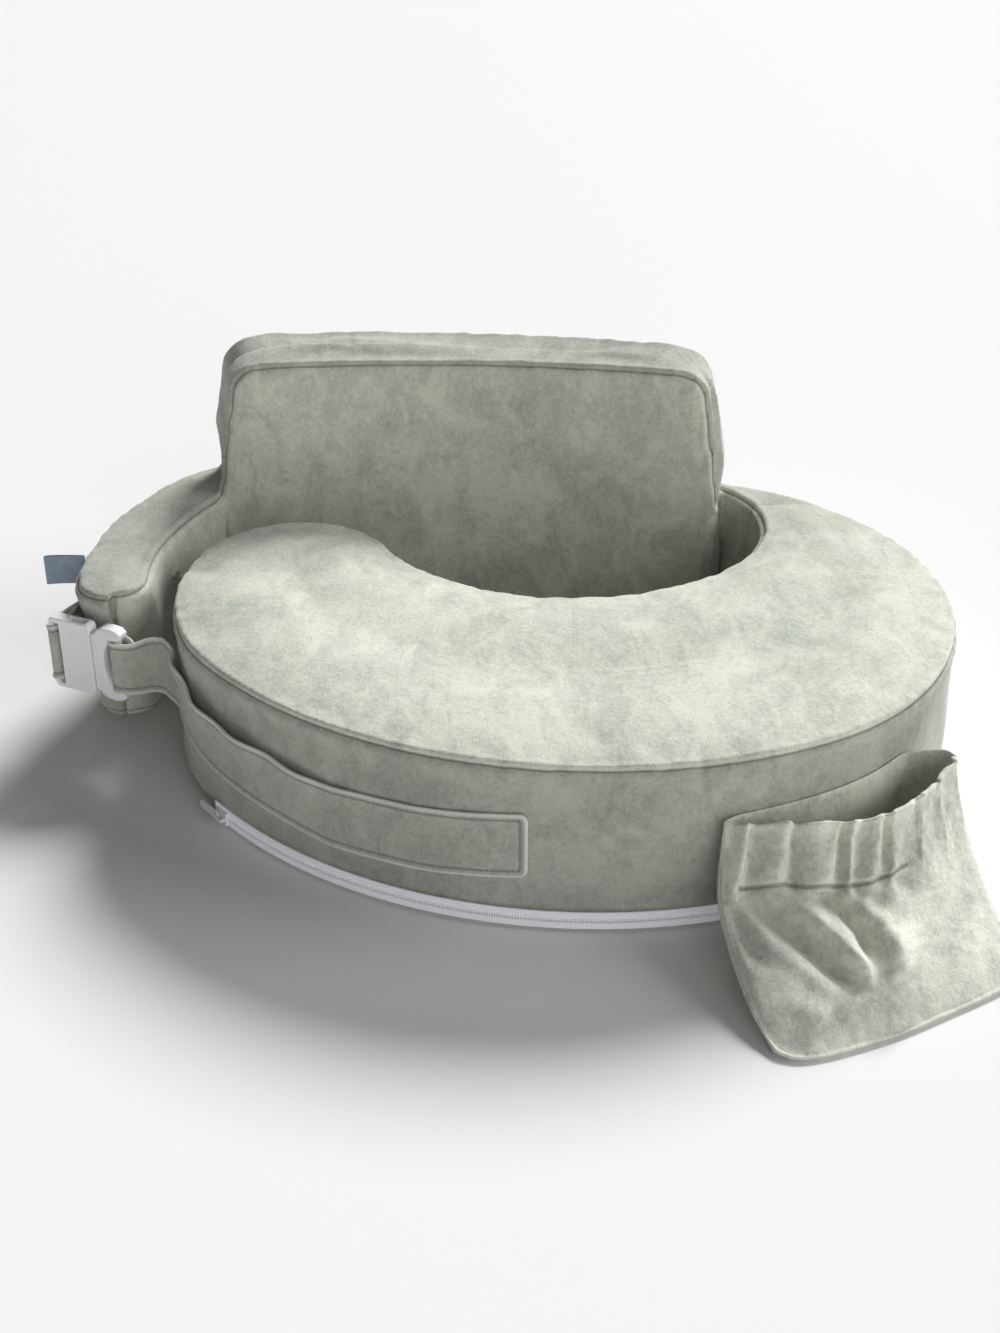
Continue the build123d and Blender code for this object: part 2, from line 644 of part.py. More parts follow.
# ---------------------------------------------------------------- free runs of strap
STRAP_LOW = BUCKLE_CENTRE[2] - STRAP_WIDTH / 2
PLUG_BAR_X = PLUG_LEFT + SLOT_MARGIN / 2
SOCKET_BAR_X = SOCKET_END - SLOT_MARGIN / 2
LOOP_INNER = (SLOT_MARGIN + 2 * LOOP_GAP, BUCKLE_THICKNESS + 2 * LOOP_GAP)
LOOP_OUTER = (LOOP_INNER[0] + 2 * LOOP_WALL, LOOP_INNER[1] + 2 * LOOP_WALL)


def free_run(bar_x, side, start, start_heading):
    """Strap from a buckle bar, which it loops round, along a smooth curve back to its start."""
    bar = buckle.from_local_coords((bar_x, 0, 0))
    end = buckle.from_local_coords((bar_x + side * (LOOP_OUTER[0] - LOOP_WALL) / 2, 0, 0))
    tangents = (
        (cos(radians(start_heading)), sin(radians(start_heading))),
        (-side * heading_x[0], -side * heading_x[1]),
    )
    loop_plane = Plane(origin=(bar.X, bar.Y, STRAP_LOW), x_dir=heading_x, z_dir=(0, 0, 1))
    with BuildPart() as run:
        with BuildSketch(Plane.XY.offset(STRAP_LOW)):
            with BuildLine():
                Spline(start, (end.X, end.Y), tangents=tangents)
            trace(line_width=STRAP_THICKNESS)
        extrude(amount=STRAP_WIDTH)
        with BuildSketch(loop_plane):
            RectangleRounded(*LOOP_OUTER, LOOP_WALL + LOOP_GAP)
            RectangleRounded(*LOOP_INNER, LOOP_GAP, mode=Mode.SUBTRACT)
        extrude(amount=STRAP_WIDTH)
    return run.part


strap_end = polar(SIDE_CENTRE, SIDE_RADIUS + (STRAP_IN + STRAP_OUT) / 2, STRAP_LEAVE)
waist_strap_lead = free_run(PLUG_BAR_X, -1, strap_end, STRAP_LEAVE - 90)
write(waist_strap_lead, "waist_strap_lead")

arm_patch = ring_sector(
    ARM_RADIUS + STRAP_IN,
    ARM_RADIUS + STRAP_OUT,
    ARM_STRAP_FROM,
    ARM_STRAP_TO,
    STRAP_LOW,
    STRAP_WIDTH,
    ARM_CENTRE,
)
write(arm_patch, "arm_strap")
patch_end = polar(ARM_CENTRE, ARM_RADIUS + (STRAP_IN + STRAP_OUT) / 2, ARM_STRAP_TO)
arm_strap_lead = free_run(SOCKET_BAR_X, 1, patch_end, ARM_STRAP_TO + 90)
write(arm_strap_lead, "arm_strap_lead")

# ---------------------------------------------------------------- bottle pocket
pocket_foot = polar(FRONT_CENTRE, FRONT_RADIUS, FRONT_TANGENT)
pocket_along = (-sin(radians(FRONT_TANGENT)), cos(radians(FRONT_TANGENT)), 0)
pocket = Plane(origin=(*pocket_foot, 0), x_dir=pocket_along, z_dir=(0, 0, 1))


def pouch(inset, bottom, top):
    """Solid pouch between two heights, wide and deep at the floor and drawn in at the mouth."""
    sections = [
        (0, POCKET_FLOOR_FROM, POCKET_FLOOR_TO, POCKET_FLOOR_DEPTH, POCKET_FLOOR_BEVEL),
        (POCKET_MOUTH_Z, POCKET_FROM, POCKET_TO, POCKET_MOUTH_DEPTH, POCKET_MOUTH_DEPTH),
    ]
    with BuildPart() as blank:
        for z, start, end, depth, bevel in sections:
            low, high, deep = start + inset, end - inset, inset - depth
            with BuildSketch(pocket.offset(z)):
                with BuildLine():
                    near = [(low, POCKET_SINK), (low, deep + bevel), (low + bevel, deep)]
                    far = [(high - bevel, deep), (high, deep + bevel), (high, POCKET_SINK)]
                    Polyline(*near, *far, close=True)
                make_face()
        loft(ruled=True)
        with BuildSketch(Plane.XY.offset(bottom)):
            with Locations(pocket_foot):
                Rectangle(FRONT_RADIUS * 2, FRONT_RADIUS * 2)
        extrude(amount=top - bottom, mode=Mode.INTERSECT)
    return blank.part


def cushion_blank(proud):
    """The crescent's plan grown by proud, as tall as the cushion, to cut the pocket to its side."""
    with BuildPart() as blank:
        with BuildSketch():
            with BuildLine():
                front_outline(-proud)
            make_face()
        extrude(amount=CUSHION_HEIGHT)
    return blank.part


HEM_LOW = POCKET_MOUTH_Z - HEM_HEIGHT
HEM_WALL = 2 * POCKET_WALL
ELASTIC_IN = (HEM_WALL - ELASTIC_THICKNESS) / 2
ELASTIC_LOW = HEM_LOW + (HEM_HEIGHT - ELASTIC_HEIGHT) / 2
pocket_ground = cushion_blank(POCKET_WALL)

with BuildPart() as pocket_back_panel:
    add(pouch(0, ZIP_HEIGHT + SLIDE_GAP, POCKET_MOUTH_Z))
    add(pocket_ground, mode=Mode.INTERSECT)
    add(cushion_blank(0), mode=Mode.SUBTRACT)
write(pocket_back_panel.part, "pocket_back_panel")

with BuildPart() as pocket_front_panel:
    add(pouch(0, 0, HEM_LOW))
    add(pouch(POCKET_WALL, POCKET_WALL, HEM_LOW), mode=Mode.SUBTRACT)
    add(pocket_ground, mode=Mode.SUBTRACT)
write(pocket_front_panel.part, "pocket_front_panel")

with BuildPart() as pocket_elastic:
    elastic_top = ELASTIC_LOW + ELASTIC_HEIGHT
    add(pouch(ELASTIC_IN, ELASTIC_LOW, elastic_top))
    add(pouch(ELASTIC_IN + ELASTIC_THICKNESS, ELASTIC_LOW, elastic_top), mode=Mode.SUBTRACT)
    add(pocket_ground, mode=Mode.SUBTRACT)
write(pocket_elastic.part, "pocket_elastic")

with BuildPart() as pocket_hem:
    add(pouch(0, HEM_LOW, POCKET_MOUTH_Z))
    add(pouch(HEM_WALL, HEM_LOW, POCKET_MOUTH_Z), mode=Mode.SUBTRACT)
    add(pocket_ground, mode=Mode.SUBTRACT)
    add(pocket_elastic.part, mode=Mode.SUBTRACT)
write(pocket_hem.part, "pocket_hem")
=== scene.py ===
# %% [markdown]
# # A wrap-around nursing pillow
# A crescent foam cushion and a foam back support share one velour cover.  A strap with a
# side-release buckle closes the ring, a zip runs along the bottom edge, and a gathered pocket
# hangs at the front.  The solid model gives every place and size in metres; this file dresses it.

# %% Load the frame
import json
from math import cos, pi, radians, sin, tau

import bmesh
import bpy
import numpy as np
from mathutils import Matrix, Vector, kdtree, noise
from mathutils.bvhtree import BVHTree

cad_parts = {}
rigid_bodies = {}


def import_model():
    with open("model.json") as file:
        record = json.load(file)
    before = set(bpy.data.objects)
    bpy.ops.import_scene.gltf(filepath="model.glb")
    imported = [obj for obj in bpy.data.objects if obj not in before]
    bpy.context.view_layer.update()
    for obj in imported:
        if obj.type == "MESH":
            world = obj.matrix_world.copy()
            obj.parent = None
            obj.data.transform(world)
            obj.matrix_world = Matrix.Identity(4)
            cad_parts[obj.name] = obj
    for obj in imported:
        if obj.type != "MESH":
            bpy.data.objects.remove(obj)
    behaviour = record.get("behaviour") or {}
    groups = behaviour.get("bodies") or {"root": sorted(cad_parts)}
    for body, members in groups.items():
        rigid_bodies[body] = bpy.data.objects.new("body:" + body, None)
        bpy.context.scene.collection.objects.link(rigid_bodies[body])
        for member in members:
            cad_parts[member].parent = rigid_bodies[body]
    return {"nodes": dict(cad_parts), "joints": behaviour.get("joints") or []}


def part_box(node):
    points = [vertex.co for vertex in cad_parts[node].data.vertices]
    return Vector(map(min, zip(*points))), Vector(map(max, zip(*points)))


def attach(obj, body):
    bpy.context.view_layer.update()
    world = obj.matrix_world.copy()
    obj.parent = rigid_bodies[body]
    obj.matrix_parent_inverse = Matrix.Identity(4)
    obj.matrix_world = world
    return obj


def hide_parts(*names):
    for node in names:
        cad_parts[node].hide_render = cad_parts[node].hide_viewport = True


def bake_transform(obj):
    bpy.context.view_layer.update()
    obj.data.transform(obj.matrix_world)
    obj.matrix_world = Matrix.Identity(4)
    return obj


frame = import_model()
nodes = frame["nodes"]
joints = {joint["name"]: joint for joint in frame["joints"]}
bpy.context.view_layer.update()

MM = 0.001
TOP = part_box("front_top_panel")[1].z
FLEX_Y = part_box("front_foam")[1].y

# %% [markdown]
# ## Camera
# The camera stands in front of the pillow and looks down at it by thirty degrees, from a little
# over a metre, which is how a person at a table sees it.

# %% Camera
CAMERA_TARGET = Vector((0.004, 0.050, 0.060))
CAMERA_ELEVATION = radians(30)
CAMERA_DISTANCE = 1.300
CAMERA_LENS = 50.1
back_off = Vector((0, -cos(CAMERA_ELEVATION), sin(CAMERA_ELEVATION)))
bpy.ops.object.camera_add(location=CAMERA_TARGET + back_off * CAMERA_DISTANCE)
camera = bpy.context.object
camera.rotation_euler = (-back_off).to_track_quat("-Z", "Y").to_euler()
camera.data.lens = CAMERA_LENS
camera.data.clip_start = 0.01
bpy.context.scene.camera = camera
print("camera at", [round(v, 3) for v in camera.location])

# %% [markdown]
# ## Floor and light
# One distant lamp shines from behind and to the right and one from the right, so the tops and the
# right-hand sides are bright, the sides that face the camera stay calm, and a soft shadow falls to
# the front left.  A weak third one from the front keeps the calm sides readable.  Distant lamps
# light the whole floor evenly, so a plain wide plane is floor enough.

# %% Floor
FLOOR_SIZE = 30
FLOOR_COLOUR = (0.86, 0.86, 0.86)
FLOOR_DROP = 0.5 * MM


def plain_material(name, colour, roughness):
    """A plain Principled material."""
    material = bpy.data.materials.new(name)
    material.use_nodes = True
    shader = material.node_tree.nodes["Principled BSDF"]
    shader.inputs["Base Color"].default_value = (*colour, 1)
    shader.inputs["Roughness"].default_value = roughness
    return material


bpy.ops.mesh.primitive_plane_add(size=FLOOR_SIZE, location=(0, 0, -FLOOR_DROP))
floor = bpy.context.object
floor.name = "floor"
floor.data.materials.append(plain_material("pale_floor", FLOOR_COLOUR, 0.9))
print("floor", FLOOR_SIZE, "m wide")

# %% [markdown]
# ## Lamps and sky
# The sky is white to the camera but gives only a little light, so the shadow keeps its depth.
# Each lamp's place is a direction to shine from; a wider lamp gives a softer shadow.  The plain
# colour transform keeps white cloth and a white floor white.

# %% Lamps and sky
SKY_LIGHT, SKY_SEEN = 0.085, 0.92


def sun_lamp(name, towards, strength, softness):
    """A distant lamp that shines from a direction; its softness is in degrees."""
    bpy.ops.object.light_add(type="SUN")
    lamp = bpy.context.object
    lamp.name = name
    lamp.data.energy = strength
    lamp.data.angle = radians(softness)
    lamp.rotation_euler = Vector(towards).to_track_quat("Z", "Y").to_euler()
    return lamp


sky = bpy.data.worlds.new("studio_sky")
sky.use_nodes = True
sky_nodes = sky.node_tree.nodes
background = sky_nodes["Background"]
background.inputs["Color"].default_value = (1, 1, 1, 1)
seen = sky_nodes.new("ShaderNodeLightPath").outputs["Is Camera Ray"]
strength = sky_nodes.new("ShaderNodeMapRange")
strength.inputs["To Min"].default_value = SKY_LIGHT
strength.inputs["To Max"].default_value = SKY_SEEN
sky.node_tree.links.new(seen, strength.inputs["Value"])
sky.node_tree.links.new(strength.outputs[0], background.inputs["Strength"])
bpy.context.scene.world = sky
sun_lamp("back_sun", (0.40, 0.84, 0.68), 3.9, 20)
sun_lamp("side_sun", (1.0, 0.00, 0.55), 1.0, 34)
sun_lamp("front_fill", (0.50, -1.0, 0.22), 1.10, 60)
bpy.context.scene.view_settings.view_transform = "Standard"
print("three lamps and a sky of strength", SKY_LIGHT)

# %% [markdown]
# ## Working by hand in code
# Each edit operator acts on everything that is selected, so these helpers clear the selection,
# make one piece active, and read or write all of its points at once.

# %% Helpers


def only(piece):
    """Leaves edit mode and selects this piece alone."""
    if bpy.context.mode != "OBJECT":
        bpy.ops.object.mode_set(mode="OBJECT")
    bpy.ops.object.select_all(action="DESELECT")
    piece.select_set(True)
    bpy.context.view_layer.objects.active = piece
    return piece


def apply_modifiers(piece):
    """Applies every modifier of a piece, in order."""
    only(piece)
    for modifier in list(piece.modifiers):
        bpy.ops.object.modifier_apply(modifier=modifier.name)
    return piece


def add_modifier(piece, kind, **settings):
    """A modifier with its settings."""
    modifier = piece.modifiers.new(kind.lower(), kind)
    for name, value in settings.items():
        setattr(modifier, name, value)
    return modifier


def read(piece, what="co"):
    """All points of a piece, or their normals, as an array."""
    values = np.empty(len(piece.data.vertices) * 3, np.float32)
    piece.data.vertices.foreach_get(what, values)
    return values.reshape(-1, 3).astype(float)


def write(piece, points):
    """Puts all points of a piece."""
    piece.data.vertices.foreach_set("co", points.astype(np.float32).ravel())
    piece.data.update()


def copy_of(node, name):
    """A merged copy of a CAD node's mesh, as a new object."""
    piece = bpy.data.objects.new(name, nodes[node].data.copy())
    piece.data.name = name
    piece.data.materials.clear()
    bpy.context.scene.collection.objects.link(piece)
    only(piece)
    bpy.ops.object.mode_set(mode="EDIT")
    bpy.ops.mesh.select_all(action="SELECT")
    bpy.ops.mesh.remove_doubles(threshold=0.01 * MM)
    bpy.ops.object.mode_set(mode="OBJECT")
    return piece


print("helpers for", len(nodes), "nodes ready")

# %% [markdown]
# ## Shaping with numbers
# Soft goods are shaped here by moving points along formulas: a smooth step from one zone to the
# next, and soft noise.  A number stored on each point carries a seam's place to its material.

# %% Shaping helpers


def smoothstep(low, high, values):
    """0 below low, 1 above high, and smooth between."""
    t = np.clip((values - low) / (high - low), 0, 1)
    return t * t * (3 - 2 * t)


def ripple(points, scale, seed=0.0):
    """Soft noise from -1 to 1 at each point."""
    shift = Vector((seed, seed * 0.7, -seed))
    return np.array([noise.noise(Vector(p) * scale + shift) for p in points])


def set_field(piece, name, values):
    """Stores one number for each point, for a material to read."""
    field = piece.data.attributes.new(name, "FLOAT", "POINT")
    field.data.foreach_set("value", values.astype(np.float32))


print("soft steps and noise ready")


# %% [markdown]
# ## The stuffed body
# The foam of the cushion and of the back support is one block on the real pillow, so the two
# foam solids are joined across the flex line, remeshed into even squares, and softened.  Cloth
# pressure then swells the cover a few millimetres, as a plush cover does over cut foam, and the
# flat underside is pressed back to the table.

# %% Join and remesh the foam
VOXEL = 4.0 * MM
EDGE_PASSES = 7
BRIDGE_DEPTH = 6 * MM
BRIDGE_MARGIN = 4 * MM


def flex_bridge():
    """A block across the flex line that makes the two foams one."""
    foam = read(nodes["front_foam"])
    face = foam[foam[:, 1] > FLEX_Y - 0.1 * MM]
    low, high = face.min(0), face.max(0)
    size = (high[0] - low[0] - BRIDGE_MARGIN, BRIDGE_DEPTH, high[2] - low[2] - BRIDGE_MARGIN)
    centre = ((low[0] + high[0]) / 2, FLEX_Y, (low[2] + high[2]) / 2)
    bpy.ops.mesh.primitive_cube_add(size=1, location=centre, scale=size)
    return bpy.context.object


body = copy_of("front_foam", "body")
parts = [copy_of("back_foam", "back_copy"), flex_bridge()]
only(body)
for part in parts:
    part.select_set(True)
bpy.ops.object.join()
add_modifier(body, "REMESH", mode="VOXEL", voxel_size=VOXEL)
add_modifier(body, "SMOOTH", factor=0.5, iterations=EDGE_PASSES)
apply_modifiers(body)
print("remeshed body:", len(body.data.vertices), "points")

# %% [markdown]
# ## Measuring the cover's edges
# Seams need to know how far each point is from the cover's edges.  The plan outline is read from
# the flat bottom panels, and the height of the top is felt for from above, so both follow the
# solid model.

# %% Plan outline
STEP = 1.0 * MM


def outline_points(node):
    """Points along a flat panel's outer edge, each with its outward direction."""
    panel = copy_of(node, "panel_copy")
    mesh = bmesh.new()
    mesh.from_mesh(panel.data)
    found = []
    for edge in mesh.edges:
        a, b = (v.co for v in edge.verts)
        walls = [f for f in edge.link_faces if abs(f.normal.z) < 0.1]
        if max(a.z, b.z) > 0.1 * MM or len(walls) != 1 or len(edge.link_faces) != 2:
            continue
        out = walls[0].normal
        if abs(out.y) > 0.999 and abs((a.y + b.y) / 2 - FLEX_Y) < 3 * MM:
            continue
        count = max(1, int((b - a).length / STEP))
        found += [(a.lerp(b, (i + 0.5) / count), out.copy()) for i in range(count)]
    mesh.free()
    bpy.data.objects.remove(panel)
    return found


outline = outline_points("front_bottom_panel") + outline_points("back_bottom_panel")
outline_at = np.array([p for p, n in outline])
outline_out = np.array([n for p, n in outline])
outline_tree = kdtree.KDTree(len(outline))
for index, (point, out) in enumerate(outline):
    outline_tree.insert((point.x, point.y, 0), index)
outline_tree.balance()

print("the outline has", len(outline), "points")

# %% [markdown]
# ## The top, felt from above
# The back support rises from the arm in a curve.  Rays dropped from above find that curve, and
# steep stretches get extra points, so the distance from it is true on the support's ends too.

# %% Top profile


def top_profile():
    """Points along the back band's top, seen from the front."""
    strip = nodes["back_top_strip"]
    low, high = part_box("back_top_strip")
    points = []
    for x in np.arange(low.x + STEP, high.x - STEP, STEP / 2):
        rows = np.arange(low.y, high.y, 8 * MM)
        hits = [strip.ray_cast(Vector((x, y, 1)), Vector((0, 0, -1))) for y in rows]
        heights = [hit[1].z for hit in hits if hit[0]]
        points.append((x, max(heights, default=TOP)))
    line = [points[0]]
    for (xa, za), (xb, zb) in zip(points, points[1:]):
        pieces = max(1, int(abs(zb - za) / STEP))
        shares = [i / pieces for i in range(1, pieces + 1)]
        line += [(xa + (xb - xa) * t, za + (zb - za) * t) for t in shares]
    return np.array([(low.x - 0.1, TOP)] + line + [(high.x + 0.1, TOP)]), np.array(points)


profile_line, profile_heights = top_profile()
profile_tree = kdtree.KDTree(len(profile_line))
for index, (x, z) in enumerate(profile_line):
    profile_tree.insert((x, 0, z), index)
profile_tree.balance()
print("the top's profile has", len(profile_line), "points")

# %% [markdown]
# ## How far from an edge
# Two depths are enough to place every seam: how far a point is inside the plan outline, and how
# far it is under the top.  Where they are equal, the point is on an edge.

# %% Distances from the edges


def wall_depth(points):
    """How far inside the plan outline each point is, and where on the outline it is nearest."""
    nearest = [outline_tree.find((x, y, 0))[1] for x, y, z in points]
    at, out = outline_at[nearest], outline_out[nearest]
    depth = -((points - at) * out)[:, :2].sum(1)
    return depth, at, out


def top_depth(points, on_back):
    """How far under the top each point is, over the stepped back band as over the flat cushion."""
    depth = TOP - points[:, 2]
    for i in np.flatnonzero(on_back):
        x, y, z = points[i]
        distance = profile_tree.find((x, 0, z))[2]
        under = z < np.interp(x, profile_heights[:, 0], profile_heights[:, 1])
        depth[i] = distance if under else -distance
    return depth


def is_back(points):
    """True where a point is nearer to the back band's foam than to the cushion's."""
    trees = []
    for node in ("front_foam", "back_foam"):
        mesh = bmesh.new()
        mesh.from_mesh(nodes[node].data)
        trees.append(BVHTree.FromBMesh(mesh))
        mesh.free()
    gaps = [[tree.find_nearest(p)[3] for p in points] for tree in trees]
    return np.array(gaps[1]) < np.array(gaps[0])


deepest = float(wall_depth(read(body))[0].max())
print("distances run to", round(deepest / MM), "mm inside the outline")

# %% [markdown]
# ## Swelling
# Cloth pressure pushes the whole skin outwards.  How far a point may move is capped: little at
# the sewn edges, more in the middle of each panel, so every panel gets a soft crown.

# %% Swell
PRESSURE = 4.0
SWELL_FRAMES = 20
SWELL_EDGE = 1.8 * MM
SWELL_CROWN = 3.6 * MM
CROWN_REACH = 55 * MM


def swell(piece):
    """Inflates a closed skin with cloth pressure and returns where its points would go."""
    cloth = piece.modifiers.new("swell", "CLOTH")
    cloth.settings.use_pressure = True
    cloth.settings.uniform_pressure_force = PRESSURE
    cloth.settings.effector_weights.gravity = 0
    cloth.collision_settings.use_collision = False
    for number in range(1, SWELL_FRAMES + 1):
        bpy.context.scene.frame_set(number)
    apply_modifiers(piece)
    bpy.context.scene.frame_set(1)
    return read(piece)


start = read(body)
start_normals = read(body, "normal")
on_back = is_back(start)
depth, at, out = wall_depth(start)
edge_gap = np.minimum(np.abs(top_depth(start, on_back) - depth), np.abs(start[:, 2] - depth))
cap = SWELL_EDGE + SWELL_CROWN * smoothstep(0, CROWN_REACH, edge_gap)
push = swell(body) - start
reach = np.linalg.norm(push, axis=1)
swollen = start + push * np.minimum(1, cap / np.maximum(reach, 1e-9))[:, None]
swollen[:, 2] = np.maximum(swollen[:, 2], 0)
write(body, swollen)
add_modifier(body, "SUBSURF", levels=1, render_levels=1)
apply_modifiers(body)
print("swollen by up to", round(float(reach.max()) / MM, 1), "mm before the cap")

# %% [markdown]
# ## Where the seams run
# The seam coordinate is zero on a sewn edge, positive down the wall and negative across the top,
# so one formula draws every edge seam, straight or curved.  The arm's nose has an upright seam of
# its own, where its inner and outer panels meet.

# %% Seam coordinates
SEAM_DROP = 2.0 * MM
NOSE_REACH = 16 * MM
NO_SEAM = 1.0

points = read(body)
normals = read(body, "normal")
on_back = is_back(points)
depth, at, out = wall_depth(points)
top_seam = top_depth(points, on_back) - depth - SEAM_DROP
low_seam = points[:, 2] - depth - SEAM_DROP

# The nose is the arm's foremost outline point, the last of them if several tie.
foremost = outline_at[::-1, 1] + (outline_at[::-1, 0] > -0.23)
nose = outline_at[len(outline_at) - 1 - np.argmin(foremost)]
nose_out = outline_out[np.argmin(np.linalg.norm(outline_at - nose, axis=1))]
across = (points - nose) @ np.array([-nose_out[1], nose_out[0], 0])
near_nose = np.linalg.norm((points - nose)[:, :2], axis=1) < NOSE_REACH
nose_seam = np.where(near_nose & (top_seam > 0), across, NO_SEAM)
print("the arm's nose is at", [round(float(v), 3) for v in nose[:2]])

# %% [markdown]
# ## Valleys, puckers and waves
# A sewn edge is a narrow valley between two small rolls, with dimples beside it where the thread
# pulls the cloth together.  The panels between carry slow waves.  All of it is a shift along the
# normals, so it shows in the outline too.

# %% Sew the edges
SEAM_DEPTH = 1.5 * MM
SEAM_HALF = 2.2 * MM
SEAM_ROLL = 0.7 * MM
ROLL_PLACE = 2.4
PUCKER = 1.25 * MM
PUCKER_REACH = 13 * MM
PUCKER_START = 2.5 * MM
WAVE = 1.1 * MM
FRONT_ARC = np.array((64.624, 146.396)) * MM
ZIP_SPAN = (217.3, 292.4)
FLOOR_CLEAR = 0.2 * MM


def bump_at(distance, half):
    """A smooth bump of height 1 at distance 0."""
    return np.exp(-((distance / half) ** 2))


def valley(seam, half):
    """A seam's cross-section: a valley with a small roll on each side."""
    rolls = SEAM_ROLL * bump_at(np.abs(seam) - ROLL_PLACE * half, half)
    return rolls - SEAM_DEPTH * bump_at(seam, half)


close = np.minimum(np.abs(top_seam), np.abs(low_seam))
dimples = np.zeros(len(points))
beside = close < PUCKER_REACH * 3
seed_points = at[beside] * [1, 1, 0] + points[beside] * [0, 0, 0.6]
fading = np.exp(-close[beside] / PUCKER_REACH) * (1 - bump_at(close[beside], PUCKER_START))
dimples[beside] = ripple(seed_points, 85, 3) * fading
waves = ripple(points, 11, 1) + 0.4 * ripple(points, 27, 2)
from_arc = points[:, :2] - FRONT_ARC
zip_angle = np.degrees(np.arctan2(from_arc[:, 1], from_arc[:, 0])) % 360
zip_zone = (zip_angle > ZIP_SPAN[0]) & (zip_angle < ZIP_SPAN[1]) & (points[:, 2] < 45 * MM)
low_seam[zip_zone] = 0.05
lift = valley(top_seam, SEAM_HALF) + valley(low_seam, SEAM_HALF)
lift += valley(nose_seam, 0.7 * SEAM_HALF) + PUCKER * dimples + WAVE * waves
points = points + normals * lift[:, None]
points[:, 2] = np.maximum(points[:, 2], FLOOR_CLEAR)
print("sewing shifts the skin from", round(lift.min() / MM, 1), "to", round(lift.max() / MM, 1), "mm")

# %% [markdown]
# ## Drag lines beside the pocket
# The pocket's weight pulls on the band it is sewn to, which draws faint slanting lines there.
# They are a sine wave that fades out around one place.

# %% Drag lines
DRAG_REACH = 36 * MM
DRAG_DEPTH = 0.7 * MM
DRAG_PITCH = 15 * MM
drag_centre = np.array((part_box("pocket_back_panel")[0].x - 26 * MM, -182 * MM, 84 * MM))
slant = (points - drag_centre) @ np.array((0.55, 0.2, 0.8))
near_pocket = np.exp(-np.sum((points - drag_centre) ** 2, axis=1) / DRAG_REACH**2)
drag = DRAG_DEPTH * near_pocket * np.sin(slant * tau / DRAG_PITCH)
points += normals * drag[:, None]
print("drag lines are", round(float(drag.max()) / MM, 2), "mm high")

# %% [markdown]
# ## The back band's fullness
# The foam solids are cut plainly.  On the real pillow the support is wider at the back than at the
# front, so its end walls show, and its top slopes up towards the back.  The arm is fuller at the
# top than at the floor, and its nose lifts off the floor.  Each is a smooth shift that fades out
# where the next shape begins.

# %% Shape the back band
FLARE_DEPTH = 50 * MM
FLARE_LEFT = 15 * MM
FLARE_RIGHT = 9 * MM
SUPPORT_X = (-0.215, 0.172)
BACK_RISE = 7 * MM
ARM_HALF = 23 * MM
ARM_FULLER = 9 * MM
ARM_FULLER_INSIDE = 2 * MM
TOE_RISE = 15 * MM
TOE_REACH = 52 * MM
TOE_HEIGHT = 78 * MM
faces_wearer = np.sum(out[:, :2] * ((0, 0.03) - at[:, :2]), axis=1) > 0
through = np.clip(depth / FLARE_DEPTH, 0, 1)
through = np.where(faces_wearer, through, 1 - through)
raised = smoothstep(TOP - 12 * MM, TOP + 45 * MM, points[:, 2]) * on_back * through
to_left = 1 - smoothstep(SUPPORT_X[0], SUPPORT_X[0] + 70 * MM, points[:, 0])
to_right = smoothstep(SUPPORT_X[1] - 50 * MM, SUPPORT_X[1], points[:, 0])
points[:, 0] += raised * (FLARE_RIGHT * to_right - FLARE_LEFT * to_left)

near_top = smoothstep(TOP + 55 * MM, TOP + 98 * MM, points[:, 2])
points[:, 2] += BACK_RISE * through * on_back * near_top

arm_zone = on_back * (1 - smoothstep(-0.225, -0.185, points[:, 0]))
fuller = np.where(faces_wearer, ARM_FULLER_INSIDE, ARM_FULLER) * np.clip(1 - depth / ARM_HALF, 0, 1)
fuller *= arm_zone * smoothstep(70 * MM, 112 * MM, points[:, 2])
points[:, :2] += out[:, :2] * fuller[:, None]
from_nose = np.linalg.norm((points - nose)[:, :2], axis=1)
toe = TOE_RISE * arm_zone * bump_at(from_nose, TOE_REACH)
points[:, 2] += toe * (1 - smoothstep(0, TOE_HEIGHT, points[:, 2]))
print("the arm's nose lifts", round(float(toe.max()) / MM, 1), "mm")

# %% [markdown]
# ## A step for the zip
# The velour is folded back above the zip, so the zip lies in a shallow step.  Points of the band
# that stand further out than the zip's floor are drawn in to it, and a small roll marks the fold.

# %% Zip step
ZIP_FLOOR = 316.0 * MM
ZIP_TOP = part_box("zipper_tape_upper")[1].z + 0.2 * MM
ZIP_FOLD = 6.5 * MM
arm = points[:, :2] - FRONT_ARC
reach = np.linalg.norm(arm, axis=1)
fold = smoothstep(ZIP_TOP, ZIP_TOP + 2.2 * MM, points[:, 2])
limit = ZIP_FLOOR + fold * ZIP_FOLD
limit += 0.8 * MM * bump_at(points[:, 2] - ZIP_TOP - 3.5 * MM, 2 * MM)
stepped = zip_zone & (reach > limit) & (points[:, 2] < ZIP_TOP + 6 * MM)
points[stepped, :2] = (FRONT_ARC + arm * (limit / reach)[:, None])[stepped]
write(body, points)
print(int(stepped.sum()), "points lie in the zip's step")
